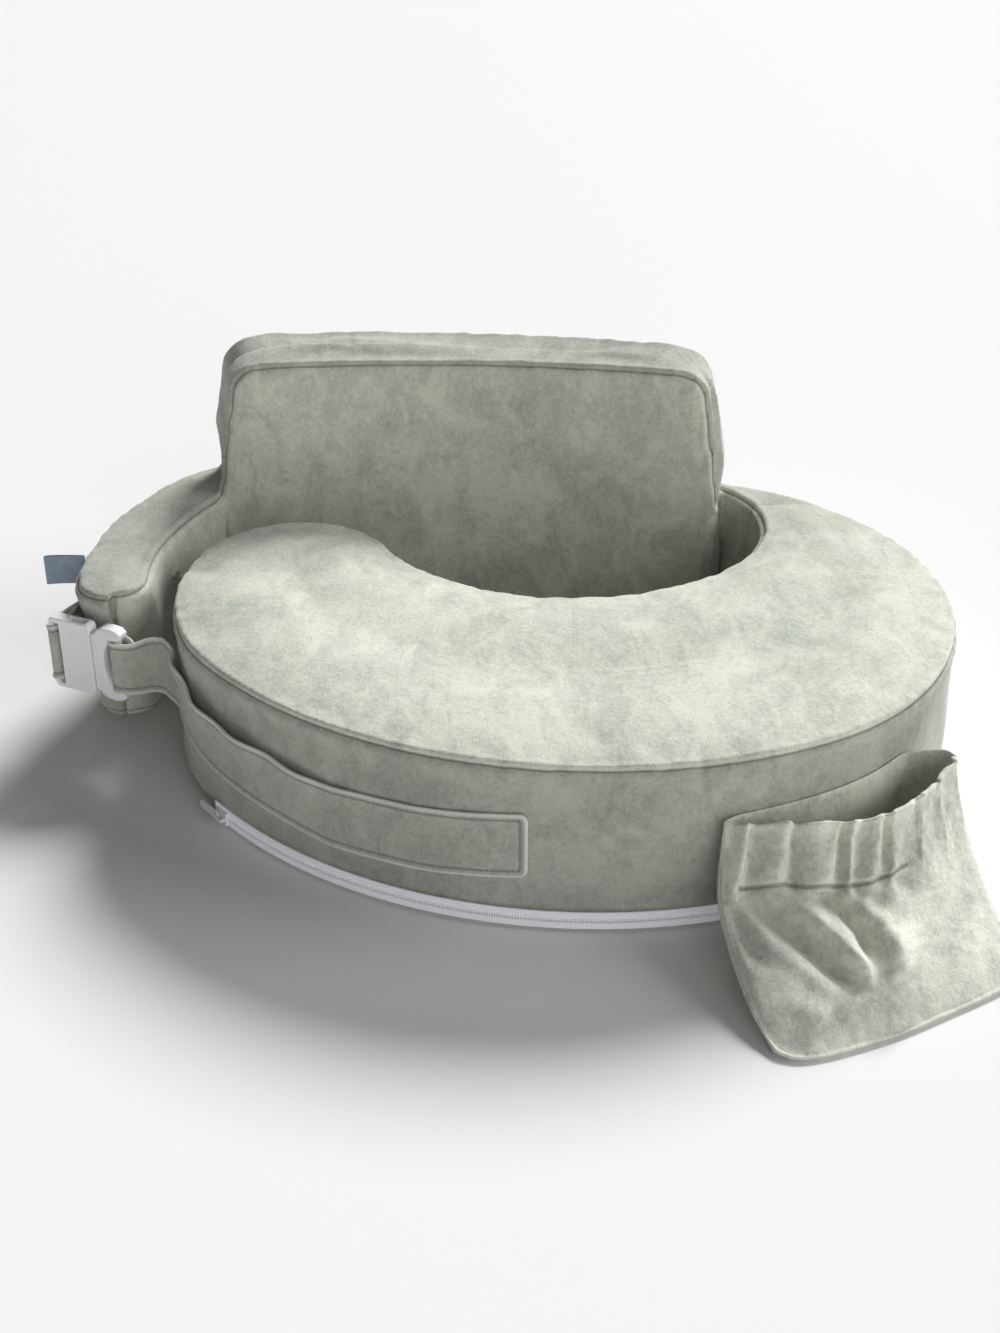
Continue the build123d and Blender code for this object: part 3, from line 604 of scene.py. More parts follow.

# %% [markdown]
# ## Where shade is painted
# The pile is painted darker, as painted shade, on the crescent's left end and the arm's top, where
# the light falls off, beside the flex line, where the two covers meet, and on the back band's outer
# walls, which the lamps from behind light strongly.
# The amount is stored on each point beside the seam coordinates, for the velour to read.

# %% Store the seams and the painted shade
set_field(body, "top_seam", top_seam)
set_field(body, "low_seam", low_seam)
set_field(body, "nose_seam", nose_seam)
x, y, z = points.T
# Painted shade: how much darker the pile is painted at each point.
near_flex = smoothstep(0.17, 0.20, x) * (1 - smoothstep(TOP, TOP + 8 * MM, z))
end_wall = smoothstep(TOP, TOP + 20 * MM, z) * smoothstep(0.14, 0.165, x)
back_wall = np.maximum(~faces_wearer * (1 - end_wall), near_flex)
arm_top = 0.2 * (1 - smoothstep(-0.22, -0.18, x))
left_end = 0.75 * (1 - smoothstep(-0.24, -0.06, x))
by_flex = smoothstep(0.10, 0.185, y) * smoothstep(0.10, 0.18, x)
painted_shade_top = np.where(on_back, arm_top, np.maximum(left_end, by_flex))
painted_shade = np.where(top_seam < 0, painted_shade_top, on_back * back_wall)
set_field(body, "painted_shade", painted_shade)
print(round(100 * float(painted_shade.mean())), "% of the pile is brushed dark")

# %% [markdown]
# ## Two covers that meet at the flex line
# The cushion and the back band move apart when the ring opens, so the skin is split where the two
# foams meet and each half is closed.


def split(piece, name):
    """Moves the back band's faces into a new piece, and closes both cut ends."""
    back = is_back(read(piece))
    only(piece)
    bpy.ops.object.mode_set(mode="EDIT")
    bpy.ops.mesh.select_all(action="DESELECT")
    bpy.ops.object.mode_set(mode="OBJECT")
    for face in piece.data.polygons:
        face.select = bool(sum(int(back[i]) for i in face.vertices) > 2)
    bpy.ops.object.mode_set(mode="EDIT")
    bpy.ops.mesh.separate(type="SELECTED")
    bpy.ops.object.mode_set(mode="OBJECT")
    other = next(o for o in bpy.context.selected_objects if o != piece)
    other.name = other.data.name = name
    for half in (piece, other):
        only(half)
        bpy.ops.object.mode_set(mode="EDIT")
        bpy.ops.mesh.select_mode(type="EDGE")
        bpy.ops.mesh.select_all(action="DESELECT")
        bpy.ops.mesh.select_non_manifold(extend=False)
        bpy.ops.mesh.edge_face_add()
        bpy.ops.mesh.select_mode(type="VERT")
        bpy.ops.object.mode_set(mode="OBJECT")
        bpy.ops.object.shade_smooth_by_angle(angle=radians(65))
        print(half.name, len(half.data.polygons), "faces")
    return other


body.name = body.data.name = "cushion_cover"
cushion_cover = body
back_cover = split(cushion_cover, "back_cover")

# %% [markdown]
# ## Velour
# Velour is a dense short pile on a knit.  Where a hand has brushed it one way it looks light, and
# the other way dark, so it is mottled in soft patches with streaks, over a fine grain.  Those
# effects are one node group.  Sheen on the shader gives the pale rim that pile shows at a
# glancing angle.

# %% Node helpers


def add_node(tree, kind, inputs=None, **settings):
    """A node with its settings, and its inputs set or linked."""
    node = tree.nodes.new(kind)
    for name, value in settings.items():
        setattr(node, name, value)
    for name, value in (inputs or {}).items():
        if isinstance(value, bpy.types.NodeSocket):
            tree.links.new(value, node.inputs[name])
        else:
            node.inputs[name].default_value = value
    return node


def maths(tree, operation, a, b=0.0, c=0.0, clamp=False):
    """The output of a Math node."""
    return add_node(
        tree, "ShaderNodeMath", {0: a, 1: b, 2: c}, operation=operation, use_clamp=clamp
    ).outputs[0]


def mix_colours(tree, factor, a, b, blend="MIX"):
    """The output of a colour Mix node."""
    node = add_node(tree, "ShaderNodeMix", data_type="RGBA", blend_type=blend)
    for socket, value in ((node.inputs[0], factor), (node.inputs[6], a), (node.inputs[7], b)):
        if isinstance(value, bpy.types.NodeSocket):
            tree.links.new(value, socket)
        else:
            socket.default_value = value
    return node.outputs[2]


def noise_at(tree, vector, scale, detail=2.0, roughness=0.5, distortion=0.0, stretch=None):
    """The value of a Noise texture, with its pattern stretched if asked."""
    if stretch:
        stretched = {"Vector": vector, "Scale": stretch}
        vector = add_node(tree, "ShaderNodeMapping", stretched).outputs[0]
    inputs = {"Vector": vector, "Scale": scale, "Detail": detail, "Roughness": roughness}
    inputs["Distortion"] = distortion
    return add_node(tree, "ShaderNodeTexNoise", inputs).outputs[0]


def field(tree, name):
    """The value of a number stored on the piece's points."""
    return add_node(tree, "ShaderNodeAttribute", attribute_name=name).outputs["Fac"]


def ranged(tree, value, low, high, start=0.0, end=1.0):
    """A value's place between two limits, as a share from start to end."""
    inputs = {"Value": value, "From Min": low, "From Max": high, "To Min": start, "To Max": end}
    return add_node(tree, "ShaderNodeMapRange", inputs).outputs[0]


def object_place(tree):
    """Object coordinates, which stay with the piece when it moves."""
    return add_node(tree, "ShaderNodeTexCoord").outputs["Object"]


def finish(material, colour, height, strength, distance):
    """Links a colour and a bump to a material's shader."""
    tree = material.node_tree
    shader = tree.nodes["Principled BSDF"]
    relief = {"Height": height, "Strength": strength, "Distance": distance}
    bump = add_node(tree, "ShaderNodeBump", relief)
    tree.links.new(colour, shader.inputs["Base Color"])
    tree.links.new(bump.outputs[0], shader.inputs["Normal"])
    return shader


def new_group(name, inputs, outputs):
    """An empty shader node group with its sockets."""
    group = bpy.data.node_groups.new(name, "ShaderNodeTree")
    for label, kind in inputs:
        group.interface.new_socket(name=label, in_out="INPUT", socket_type=kind)
    for label, kind in outputs:
        group.interface.new_socket(name=label, in_out="OUTPUT", socket_type=kind)
    entry = group.nodes.new("NodeGroupInput")
    leave = group.nodes.new("NodeGroupOutput")
    return group, entry, leave


print("node helpers ready")

# %% [markdown]
# ## Pile
# The pile is five noises of falling size.  The two large ones are hand marks, the middle ones are
# streaks and clumps of pile, and the fine one is the tips themselves.  A cooler tint in the dark
# patches is the sky seen in the flattened pile.

# %% Pile group
COOL = (0.86, 0.99, 1.04, 1)


def pile_group():
    """Velour's mottled colour and its relief."""
    colour_in, number_in = "NodeSocketColor", "NodeSocketFloat"
    group, entry, leave = new_group(
        "velour_pile",
        [("Light", colour_in), ("Dark", colour_in), ("Brushing", number_in)],
        [("Color", colour_in), ("Height", number_in)],
    )
    place = object_place(group)
    patches = noise_at(group, place, 13, detail=5, roughness=0.66, distortion=0.6)
    lie = (1, 0.5, 0.7)
    streaks = noise_at(group, place, 55, detail=5, roughness=0.65, distortion=0.9, stretch=lie)
    clumps = noise_at(group, place, 300, detail=4, roughness=0.7)
    grain = noise_at(group, place, 900, detail=3, roughness=0.7)
    cool = noise_at(group, place, 21, detail=4, roughness=0.7, distortion=0.5)
    tone = maths(group, "MULTIPLY_ADD", patches, 1.7, -0.85)
    tone = maths(group, "MULTIPLY_ADD", streaks, 1.6, maths(group, "SUBTRACT", tone, 0.80))
    tone = maths(group, "MULTIPLY", tone, entry.outputs["Brushing"])
    tone = maths(group, "MULTIPLY_ADD", clumps, 1.3, maths(group, "ADD", tone, 0.03))
    tone = maths(group, "SUBTRACT", tone, 0.45)
    tone = maths(group, "MULTIPLY_ADD", grain, 0.9, tone, clamp=True)
    colour = mix_colours(group, tone, entry.outputs["Dark"], entry.outputs["Light"])
    tint = maths(group, "MULTIPLY_ADD", cool, 2.4, -1.05, clamp=True)
    tint = maths(group, "MULTIPLY", tint, maths(group, "SUBTRACT", 1.0, tone))
    colour = mix_colours(group, tint, colour, mix_colours(group, 1.0, colour, COOL, "MULTIPLY"))
    height = maths(group, "MULTIPLY_ADD", clumps, 1.0, maths(group, "MULTIPLY", grain, 0.6))
    height = maths(group, "MULTIPLY_ADD", streaks, 0.6, height)
    group.links.new(colour, leave.inputs["Color"])
    group.links.new(height, leave.inputs["Height"])
    return group


PILE = pile_group()
print("the pile group has", len(PILE.nodes), "nodes")

# %% [markdown]
# ## Velour on the two covers
# One function makes every velour here.  The top panel and the walls differ in tone, partly because
# their naps lie differently and partly as painted light and shade, and the valley of each seam is
# painted darker, as painted shade.  The sheen is the pale rim.

# %% Velour
PILE_LIGHT = (0.80, 0.80, 0.70, 1)
PILE_DARK = (0.45, 0.465, 0.40, 1)
SHEEN_TINT = (0.97, 0.99, 0.94, 1)
# The tone of the painted shade in the seams' valleys.
SEAM_SHADE_TONE = (0.60, 0.60, 0.57, 1)
# The tone of the painted shade where less light falls on the pile.
PAINTED_SHADE_TONE = (0.78, 0.785, 0.78, 1)


def velour(name, seams=(), brushing=1.0, light=PILE_LIGHT, dark=PILE_DARK, nap_and_shade_tones=None):
    """Velour, with painted shade in the bottom of each seam whose coordinate the piece stores.

    The pile's tone on the top panel and on the walls is given as a pair; the two differ partly
    because the naps lie differently and partly as painted light and shade."""
    material = bpy.data.materials.new(name)
    material.use_nodes = True
    tree = material.node_tree
    pile = add_node(tree, "ShaderNodeGroup", node_tree=PILE)
    pile.inputs["Light"].default_value = light
    pile.inputs["Dark"].default_value = dark
    pile.inputs["Brushing"].default_value = brushing
    colour, height = pile.outputs["Color"], pile.outputs["Height"]
    if nap_and_shade_tones:
        # Painted light and shade: the top panel and the walls each get their own tone.
        on_wall = ranged(tree, field(tree, "top_seam"), -0.4 * MM, 0.4 * MM)
        panel = mix_colours(tree, on_wall, (nap_and_shade_tones[0],) * 3 + (1,), (nap_and_shade_tones[1],) * 3 + (1,))
        colour = mix_colours(tree, 1.0, colour, panel, "MULTIPLY")
        # Painted shade: the stored amount darkens the pile.
        darker = mix_colours(tree, 1.0, colour, PAINTED_SHADE_TONE, "MULTIPLY")
        colour = mix_colours(tree, field(tree, "painted_shade"), colour, darker)
    for seam in seams:
        gap = maths(tree, "ABSOLUTE", field(tree, seam))
        line = ranged(tree, gap, 0.5 * MM, 1.5 * MM, 1.0, 0.0)
        # Painted shade in the bottom of the seam's valley.
        darker = mix_colours(tree, 1.0, colour, SEAM_SHADE_TONE, "MULTIPLY")
        colour = mix_colours(tree, line, colour, darker)
        height = maths(tree, "SUBTRACT", height, maths(tree, "MULTIPLY", line, 1.5))
    shader = finish(material, colour, height, 0.6, 0.75 * MM)
    shader.inputs["Roughness"].default_value = 0.95
    shader.inputs["Specular IOR Level"].default_value = 0.15
    shader.inputs["Sheen Weight"].default_value = 0.42
    shader.inputs["Sheen Roughness"].default_value = 0.45
    shader.inputs["Sheen Tint"].default_value = SHEEN_TINT
    return material


COVER_SEAMS = ("top_seam", "low_seam", "nose_seam")
# The top panel's and the walls' tone for each cover: partly the nap, partly painted light and shade.
CUSHION_NAP_AND_SHADE_TONES = (0.98, 0.66)
BACK_NAP_AND_SHADE_TONES = (0.70, 0.86)
for cover, nap_and_shade_tones in ((cushion_cover, CUSHION_NAP_AND_SHADE_TONES), (back_cover, BACK_NAP_AND_SHADE_TONES)):
    cover.data.materials.clear()
    cover.data.materials.append(velour(cover.name + "_velour", COVER_SEAMS, nap_and_shade_tones=nap_and_shade_tones))
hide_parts("front_foam", "front_top_panel", "front_side_band", "front_bottom_panel")
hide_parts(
    "back_foam", "back_inner_panel", "back_outer_panel", "back_top_strip", "back_bottom_panel",
)
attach(cushion_cover, "cushion")
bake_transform(back_cover)

# %% [markdown]
# ## Ribbons on a curved wall
# A strap is flat, so it is a fine grid laid along a route: its middle line runs round the pillow,
# its width stands upright, and its faces look outwards.  The edges are rolled over and stitched
# down, which is a small ridge with a crease beside it.

# %% Skin and ribbon helpers


def skin_of(*pieces):
    """A search tree over the faces of these pieces."""
    points, faces = [], []
    for piece in pieces:
        first = len(points)
        points += [v.co.copy() for v in piece.data.vertices]
        faces += [[first + i for i in face.vertices] for face in piece.data.polygons]
    return BVHTree.FromPolygons(points, faces)


def touch(tree, place, out, height):
    """Where a line from outside meets the skin at a height, going in against out."""
    start = Vector((place[0] + out[0] * 0.05, place[1] + out[1] * 0.05, height))
    hit = tree.ray_cast(start, Vector((-out[0], -out[1], 0)), 0.09)[0]
    return np.array(hit) if hit else np.array((place[0], place[1], height))


def curve_through(points, count):
    """Evenly spaced points on a smooth curve through the given ones."""
    points = np.array(points, float)
    ends = np.vstack([2 * points[0] - points[1], points, 2 * points[-1] - points[-2]])
    fine = []
    for i in range(1, len(ends) - 2):
        p0, p1, p2, p3 = ends[i - 1 : i + 3]
        for t in np.linspace(0, 1, 24, endpoint=False):
            square = (2 * p0 - 5 * p1 + 4 * p2 - p3) * t**2
            cube = (3 * p1 - p0 - 3 * p2 + p3) * t**3
            fine.append(0.5 * (2 * p1 + (p2 - p0) * t + square + cube))
    fine = np.array(fine + [ends[-2]])
    run = np.concatenate([[0], np.cumsum(np.linalg.norm(np.diff(fine, axis=0), axis=1))])
    even = np.linspace(0, run[-1], count)
    return np.stack([np.interp(even, run, fine[:, k]) for k in range(fine.shape[1])], 1), run[-1]


def cloth_grid(name, columns, rows):
    """A grid primitive whose points know where they are across it, from 0 to 1 both ways."""
    bpy.ops.object.select_all(action="DESELECT")
    bpy.ops.mesh.primitive_grid_add(x_subdivisions=columns, y_subdivisions=rows, size=1)
    piece = bpy.context.object
    piece.name = piece.data.name = name
    flat = read(piece)
    return piece, flat[:, 0] + 0.5, flat[:, 1] + 0.5


def thicken(piece, thickness, offset=-1.0, levels=1):
    """Gives a grid its thickness and rounds it."""
    add_modifier(piece, "SOLIDIFY", thickness=thickness, offset=offset, use_even_offset=False)
    if levels:
        add_modifier(piece, "SUBSURF", levels=levels, render_levels=levels)
    apply_modifiers(piece)
    only(piece)
    bpy.ops.object.shade_smooth()
    return piece


print("the cloth helpers are ready")

# %% [markdown]
# ## A ribbon with a rolled edge
# The ribbon's grid is bent along its route in plan, so its length stays true.  Rounded corners
# come from narrowing its two ends by a quarter circle.

# %% Ribbon
EDGE_ROLL = 1.2 * MM
EDGE_ROLL_IN = 1.6 * MM
STITCH_IN = 5.0 * MM
RIBBON_STEP = 2.5 * MM
RIBBON_ROWS = 22
CORNER_R = 4.5 * MM


def ribbon(name, route, heights, width, thickness, side, flare=None, narrow=None, rounded=True):
    """A strap along a plan route; side is 1 where its outer face is left of the way it runs."""
    length = np.linalg.norm(np.diff(route, axis=0), axis=1).sum()
    count = int(length / RIBBON_STEP)
    line, length = curve_through(np.column_stack([route, heights]), count + 1)
    way = np.gradient(line[:, :2], axis=0)
    way /= np.linalg.norm(way, axis=1)[:, None]
    outward = side * np.stack([-way[:, 1], way[:, 0]], 1)
    piece, u, v = cloth_grid(name, count, RIBBON_ROWS)
    index = np.clip(np.round(u * count).astype(int), 0, count)
    along = u * length
    half = np.full(len(u), width / 2)
    if narrow is not None:
        half *= np.interp(along, narrow[0], narrow[1])
    near_end = np.clip(CORNER_R - along, 0, CORNER_R) if rounded else 0 * along
    half -= CORNER_R - np.sqrt(np.maximum(CORNER_R**2 - near_end**2, 0))
    up = (v - 0.5) * 2 * half
    edge = np.minimum(half - np.abs(up), along if rounded else 1.0)
    relief = EDGE_ROLL * bump_at(edge - EDGE_ROLL_IN, 1.5 * MM)
    relief -= 0.8 * EDGE_ROLL * bump_at(edge - STITCH_IN, 0.8 * MM)
    centre, out = line[index], outward[index]
    lift = relief + 0.35 * MM * ripple(np.column_stack([along, up, 0 * up]), 60, 5)
    if flare is not None:
        lift = lift + flare(along, up / half)
    places = np.column_stack([centre[:, :2] + out * lift[:, None], centre[:, 2] + up])
    write(piece, places)
    normal_side = np.sum(read(piece, "normal")[:, :2] * out, axis=1).mean()
    if normal_side < 0:
        only(piece)
        bpy.ops.object.mode_set(mode="EDIT")
        bpy.ops.mesh.select_all(action="SELECT")
        bpy.ops.mesh.flip_normals()
        bpy.ops.object.mode_set(mode="OBJECT")
    set_field(piece, "edge_gap", edge)
    set_field(piece, "along", along)
    thicken(piece, thickness)
    print(name, "is", round(length / MM), "mm long")
    return piece


# %% [markdown]
# ## Waist strap
# The strap is sewn to the cushion at the front, runs round the left side, leaves it there, and
# loops round the bar of the buckle's plug.  Its route on the cushion is felt out on the velour
# skin, so it lies on it; further left its upper edge stands away in soft waves.

# %% Buckle frame
PRONG_PIVOT_X = -8.5 * MM
slide = Vector(joints["buckle_slide"]["axis"]).normalized()
inward = Vector((-slide.y, slide.x, 0)) * -1
upper_pivot = Vector(joints["prong_upper_flex"]["pos_m"])
lower_pivot = Vector(joints["prong_lower_flex"]["pos_m"])
buckle_centre = (upper_pivot + lower_pivot) / 2 - slide * PRONG_PIVOT_X


def buckle_point(x, y, z=0.0):
    """A point in the buckle: x from plug to socket, y up, z inwards, in millimetres."""
    return buckle_centre + slide * x * MM + Vector((0, 0, y * MM)) + inward * z * MM


def plan_of(points):
    """Plan places of buckle points given as (x, z)."""
    return [tuple(buckle_point(x, 0, z))[:2] for x, z in points]


print("the buckle's centre is at", [round(v, 4) for v in buckle_centre])

# %% [markdown]
# ## The strap's route
# Rays from outside find the velour skin along the wall, and the route keeps a little clear of it.
# Past the cushion's end the route turns across the gap and goes round the plug's bar and back.

# %% Waist strap
skin = skin_of(cushion_cover, back_cover)
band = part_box("waist_strap")
band_low, band_high = band[0].z, band[1].z
lead_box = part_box("waist_strap_lead")
STRAP_WIDTH = lead_box[1].z - lead_box[0].z
STRAP_THICKNESS = 2.2 * MM
STRAP_CLEAR = 2.2 * MM
LEAVE = Vector((lead_box[1].x - 1.2 * MM, lead_box[0].y + 1.5 * MM))


def wall_route(first, last):
    """Outline points between two places, in order, on the side away from the waist."""
    keep = [
        (tuple(p[:2]), tuple(n[:2]))
        for p, n in zip(outline_at, outline_out)
        if last[0] <= p[0] <= first[0] and p[1] <= max(first[1], last[1]) + 1 * MM and n[1] < 0.05
    ]
    keep.sort(key=lambda pair: -pair[0][0] + pair[0][1] * 0.5)
    return keep[::14] + keep[-1:]


strap_wall = wall_route((band[1].x, 0), (LEAVE.x, LEAVE.y))
SAG_X = (-235, -180, -105, -45, 18)
SAG_HEIGHT = (74.5, 63.5, 55, 56.2, 61)
strap_route, strap_heights = [], []
for (px, py), n in strap_wall:
    height = np.interp(px / MM, SAG_X, SAG_HEIGHT) * MM
    hit = touch(skin, (px, py), n, height)
    strap_route.append((hit[0] + n[0] * STRAP_CLEAR, hit[1] + n[1] * STRAP_CLEAR))
    strap_heights.append(height)
turn = [(-224.6 * MM, 24.0 * MM), (-229.0 * MM, 30.0 * MM), (-236.0 * MM, 31.0 * MM)]
going = [(-38, -2.6), (-31, -6.0), (-25, -7.2), (-20.8, -5.2), (-19.8, 0)]
coming = [(-20.8, 5.2), (-25, 7.0), (-31, 5.2), (-38, 0.6)]
loop = plan_of(going + coming)
strap_route += turn + loop
strap_heights += [73.5 * MM] + [buckle_centre.z] * (len(turn) + len(loop) - 1)
strap_route, strap_heights = np.array(strap_route), np.array(strap_heights)


def stand_off(along, up):
    """The upper edge's soft stand-off towards the left end."""
    waves = np.sin(along * 130) * 0.5 + np.sin(along * 57 + 1) * 0.5
    reach = smoothstep(0.10, 0.18, along) * (1 - smoothstep(0.30, 0.33, along))
    return reach * smoothstep(-0.2, 1.0, up) * (4.4 + 2.8 * waves) * MM


strap_total = np.linalg.norm(np.diff(strap_route, axis=0), axis=1).sum()
narrowing = ((0, strap_total - 0.075, strap_total - 0.045, strap_total), (1, 1, 0.86, 0.86))
waist_size = (STRAP_WIDTH, STRAP_THICKNESS)
waist_ribbon = ribbon(
    "waist_ribbon", strap_route, strap_heights, *waist_size, 1, stand_off, narrowing
)
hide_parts("waist_strap", "waist_strap_lead")
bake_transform(waist_ribbon)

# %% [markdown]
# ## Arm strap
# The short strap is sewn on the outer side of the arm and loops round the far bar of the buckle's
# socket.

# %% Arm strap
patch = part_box("arm_strap")
arm_heights = (patch[0].z + patch[1].z) / 2
arm_route = []
for (px, py), n in zip(outline_at[:, :2], outline_out):
    if px < -0.2 and patch[0].y - 2 * MM < py < patch[1].y and n[0] < -0.8:
        hit = touch(skin, (px, py), n, arm_heights)
        arm_route.append((hit[0] + n[0] * STRAP_CLEAR, hit[1] + n[1] * STRAP_CLEAR))
arm_route.sort(key=lambda p: -p[1])
arm_route = arm_route[::9]
going = [(30.2, 36), (31.6, 20), (31.6, 8), (31.4, 0), (29.8, -5.4), (26.8, -6.8)]
coming = [(23.8, -5.2), (22.6, 0), (23.0, 7), (25.6, 16), (28.4, 27)]
arm_route = np.array(arm_route + plan_of(going + coming))
arm_level = np.full(len(arm_route), arm_heights)
arm_size = (STRAP_WIDTH - 4 * MM, 1.8 * MM)
arm_ribbon = ribbon("arm_ribbon", arm_route, arm_level, *arm_size, -1)
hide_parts("arm_strap", "arm_strap_lead")
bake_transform(arm_ribbon)

# %% [markdown]
# ## Side tag
# The tag is a short piece of satin ribbon, folded in two, with both ends caught in the arm's
# outer wall.  Its fold is round and a little open, and the free end hangs slightly.

# %% Side tag
tag_low, tag_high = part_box("side_tag")
TAG_WIDTH = tag_high.z - tag_low.z
TAG_STEPS = 56
TAG_DROOP = 2.4 * MM
TAG_OUT = ((-2, 0.5), (8, 1.2), (17, 2.6), (24, 3.9), (27.4, 4.0))
TAG_BACK = ((28.4, 2.8), (27, 1.9), (20, 1.1), (9, -0.2), (-2, -0.5))
tag_foot = np.array((tag_high.x - 6.5 * MM, (tag_low.y + tag_high.y) / 2))
tag_route = [(tag_foot[0] - d * MM, tag_foot[1] + w * MM) for d, w in TAG_OUT + TAG_BACK]
tag_line, tag_length = curve_through(tag_route, TAG_STEPS + 1)
side_ribbon, tag_u, tag_v = cloth_grid("side_ribbon", TAG_STEPS, 16)
tag_at = np.round(tag_u * TAG_STEPS).astype(int)
tag_out = tag_foot[0] - tag_line[tag_at, 0]
droop = TAG_DROOP * (tag_out / (28 * MM)) ** 2
tag_z = tag_low.z + tag_v * TAG_WIDTH - droop + 1.0 * MM
write(side_ribbon, np.column_stack([tag_line[tag_at], tag_z]))
thicken(side_ribbon, 0.35 * MM, offset=0)
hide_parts("side_tag")
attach(side_ribbon, "back_band")
print("the tag's ribbon is", round(tag_length / MM), "mm long before folding")

# %% [markdown]
# ## Buckle plug
# The plug is one moulding: a yoke with two rounded lobes that hold the strap's bar between them,
# and a tongue that guides it into the socket.  The yoke's outline is drawn as a flat face,
# thickened, and its edges are rounded with a bevel.

# %% Buckle plug
YOKE = [
    (-5.8, 22.0), (-9.0, 22.6), (-11.0, 25.6), (-15.0, 27.6), (-21.0, 28.2),
    (-27.0, 27.2), (-30.0, 24.6), (-30.2, 21.6), (-27.6, 19.8), (-23.6, 19.2),
    (-19.4, 16.2), (-16.4, 11.0), (-15.2, 5.0), (-15.0, 0.0),
]
yoke_outline = YOKE + [(x, -y) for x, y in reversed(YOKE[:-1])]


def flat_block(name, outline, low, high, bevel=1.2 * MM):
    """A block with a given outline in the buckle's plane, rounded all over."""
    bpy.ops.object.select_all(action="DESELECT")
    bpy.ops.mesh.primitive_circle_add(vertices=len(outline), radius=1, fill_type="NGON")
    block = bpy.context.object
    block.name = block.data.name = name
    for vertex, (x, y) in zip(block.data.vertices, outline):
        vertex.co = buckle_point(x, y, low)
    only(block)
    bpy.ops.object.mode_set(mode="EDIT")
    bpy.ops.mesh.select_all(action="SELECT")
    rise = tuple(inward * (high - low) * MM)
    bpy.ops.mesh.extrude_region_move(TRANSFORM_OT_translate={"value": rise})
    bpy.ops.mesh.select_all(action="SELECT")
    bpy.ops.mesh.normals_make_consistent(inside=False)
    bpy.ops.object.mode_set(mode="OBJECT")
    rounding = {"width": bevel, "segments": 3, "limit_method": "ANGLE"}
    add_modifier(block, "BEVEL", angle_limit=radians(50), **rounding)
    apply_modifiers(block)
    bpy.ops.object.shade_smooth_by_angle(angle=radians(40))
    return block


def join(name, pieces):
    """Joins pieces into the first and names it."""
    only(pieces[0])
    for piece in pieces[1:]:
        piece.select_set(True)
    bpy.ops.object.join()
    bpy.context.object.name = bpy.context.object.data.name = name
    return bpy.context.object


yoke = flat_block("yoke", yoke_outline, -5, 5)
TONGUE = [(-7, 4.5), (-7, -4.5), (8.5, -4.5), (11, -3), (11, 3), (8.5, 4.5)]
BAR = [(-26.6, 21), (-26.6, -21), (-22.4, -21), (-22.4, 21)]
tongue = flat_block("tongue", TONGUE, -2.4, 2.4, 0.7 * MM)
bar = flat_block("bar", BAR, -3.6, 3.6, 1.4 * MM)
plug = join("buckle_yoke", [yoke, tongue, bar])
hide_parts("buckle_plug")
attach(plug, "back_band")
print("the plug has", len(plug.data.polygons), "faces")

# %% [markdown]
# ## Bottle pocket
# The pocket is two layers of velour sewn together at the sides and along the bottom.  The back
# layer's top is sewn to the cushion; the front layer ends in a casing with elastic in it, which
# gathers the mouth.  Each layer is a sheet stretched between four edge curves; the front layer is
# then given its swell, its gathers and its folds.

# %% Pocket frame and edges
POCKET_FOOT = np.array((193.4, -144.3, 0)) * MM
POCKET_WAY = np.array((0.9143, 0.4051, 0))
POCKET_OUT = np.array((0.4051, -0.9143, 0))
MOUTH = [
    (-62, 1, 82), (-57, 6, 80.5), (-43, 9.5, 80), (-21, 19, 80), (-1, 26.5, 79.5), (20, 31, 79),
    (42, 29.5, 79), (67, 21, 79), (86, 10.5, 79.5), (98, 4.5, 82), (104, 0, 84),
]
BOTTOM = [
    (-89, 112, 3), (-80, 121, 2.2), (-68, 125, 2), (-48, 127, 2),
    (-15, 127.5, 2), (21, 124, 2), (60, 119, 2.2), (82, 111, 4),
]
LEFT = [(-62, 1, 82), (-65, 5, 62), (-72, 18, 42), (-80, 46, 27), (-88, 84, 13), (-89, 112, 3)]
RIGHT = [(104, 0, 84), (102, 9, 66), (99, 26, 46), (94, 54, 26), (87, 88, 11), (82, 111, 4)]
COLUMNS, ROWS = 150, 110


def coons(u, v, top, bottom, left, right):
    """Places between four edge curves."""

    def along(points, share):
        curve = curve_through(points, 401)[0]
        return np.stack([np.interp(share * 400, range(401), curve[:, k]) for k in range(3)], 1)

    edges = [along(top, u), along(bottom, u), along(left, v), along(right, v)]
    c00, c10, c01, c11 = (np.array(p, float) for p in (top[0], top[-1], bottom[0], bottom[-1]))
    u, v = u[:, None], v[:, None]
    corners = (1 - u) * (1 - v) * c00 + u * (1 - v) * c10 + (1 - u) * v * c01 + u * v * c11
    return (1 - v) * edges[0] + v * edges[1] + (1 - u) * edges[2] + u * edges[3] - corners


def pocket_place(local):
    """World places of pocket points given as along, out, up in millimetres."""
    return POCKET_FOOT + local @ np.array([POCKET_WAY, POCKET_OUT, (0, 0, 1)]) * MM


def line_gap(points, line):
    """Distance of flat points from a polyline, and how far along it the nearest place is."""
    best, share = np.full(len(points), 1e9), np.zeros(len(points))
    line = np.array(line, float)
    for i, (a, b) in enumerate(zip(line, line[1:])):
        t = np.clip(((points - a) @ (b - a)) / ((b - a) @ (b - a)), 0, 1)
        gap = np.linalg.norm(points - a - t[:, None] * (b - a), axis=1)
        nearer = gap < best
        best[nearer], share[nearer] = gap[nearer], (i + t[nearer]) / (len(line) - 1)
    return best, share


print("the mouth runs through", len(MOUTH), "points")

# %% [markdown]
# ## The front layer
# The layer is first stretched evenly between its edges, then lifted: a broad swell over the
# whole pouch, upright gathers in the hem, and slanting folds below it.  Each gather is a place
# across, a half width and a depth; each fold is a line on the flat cloth, a depth and a half
# width.

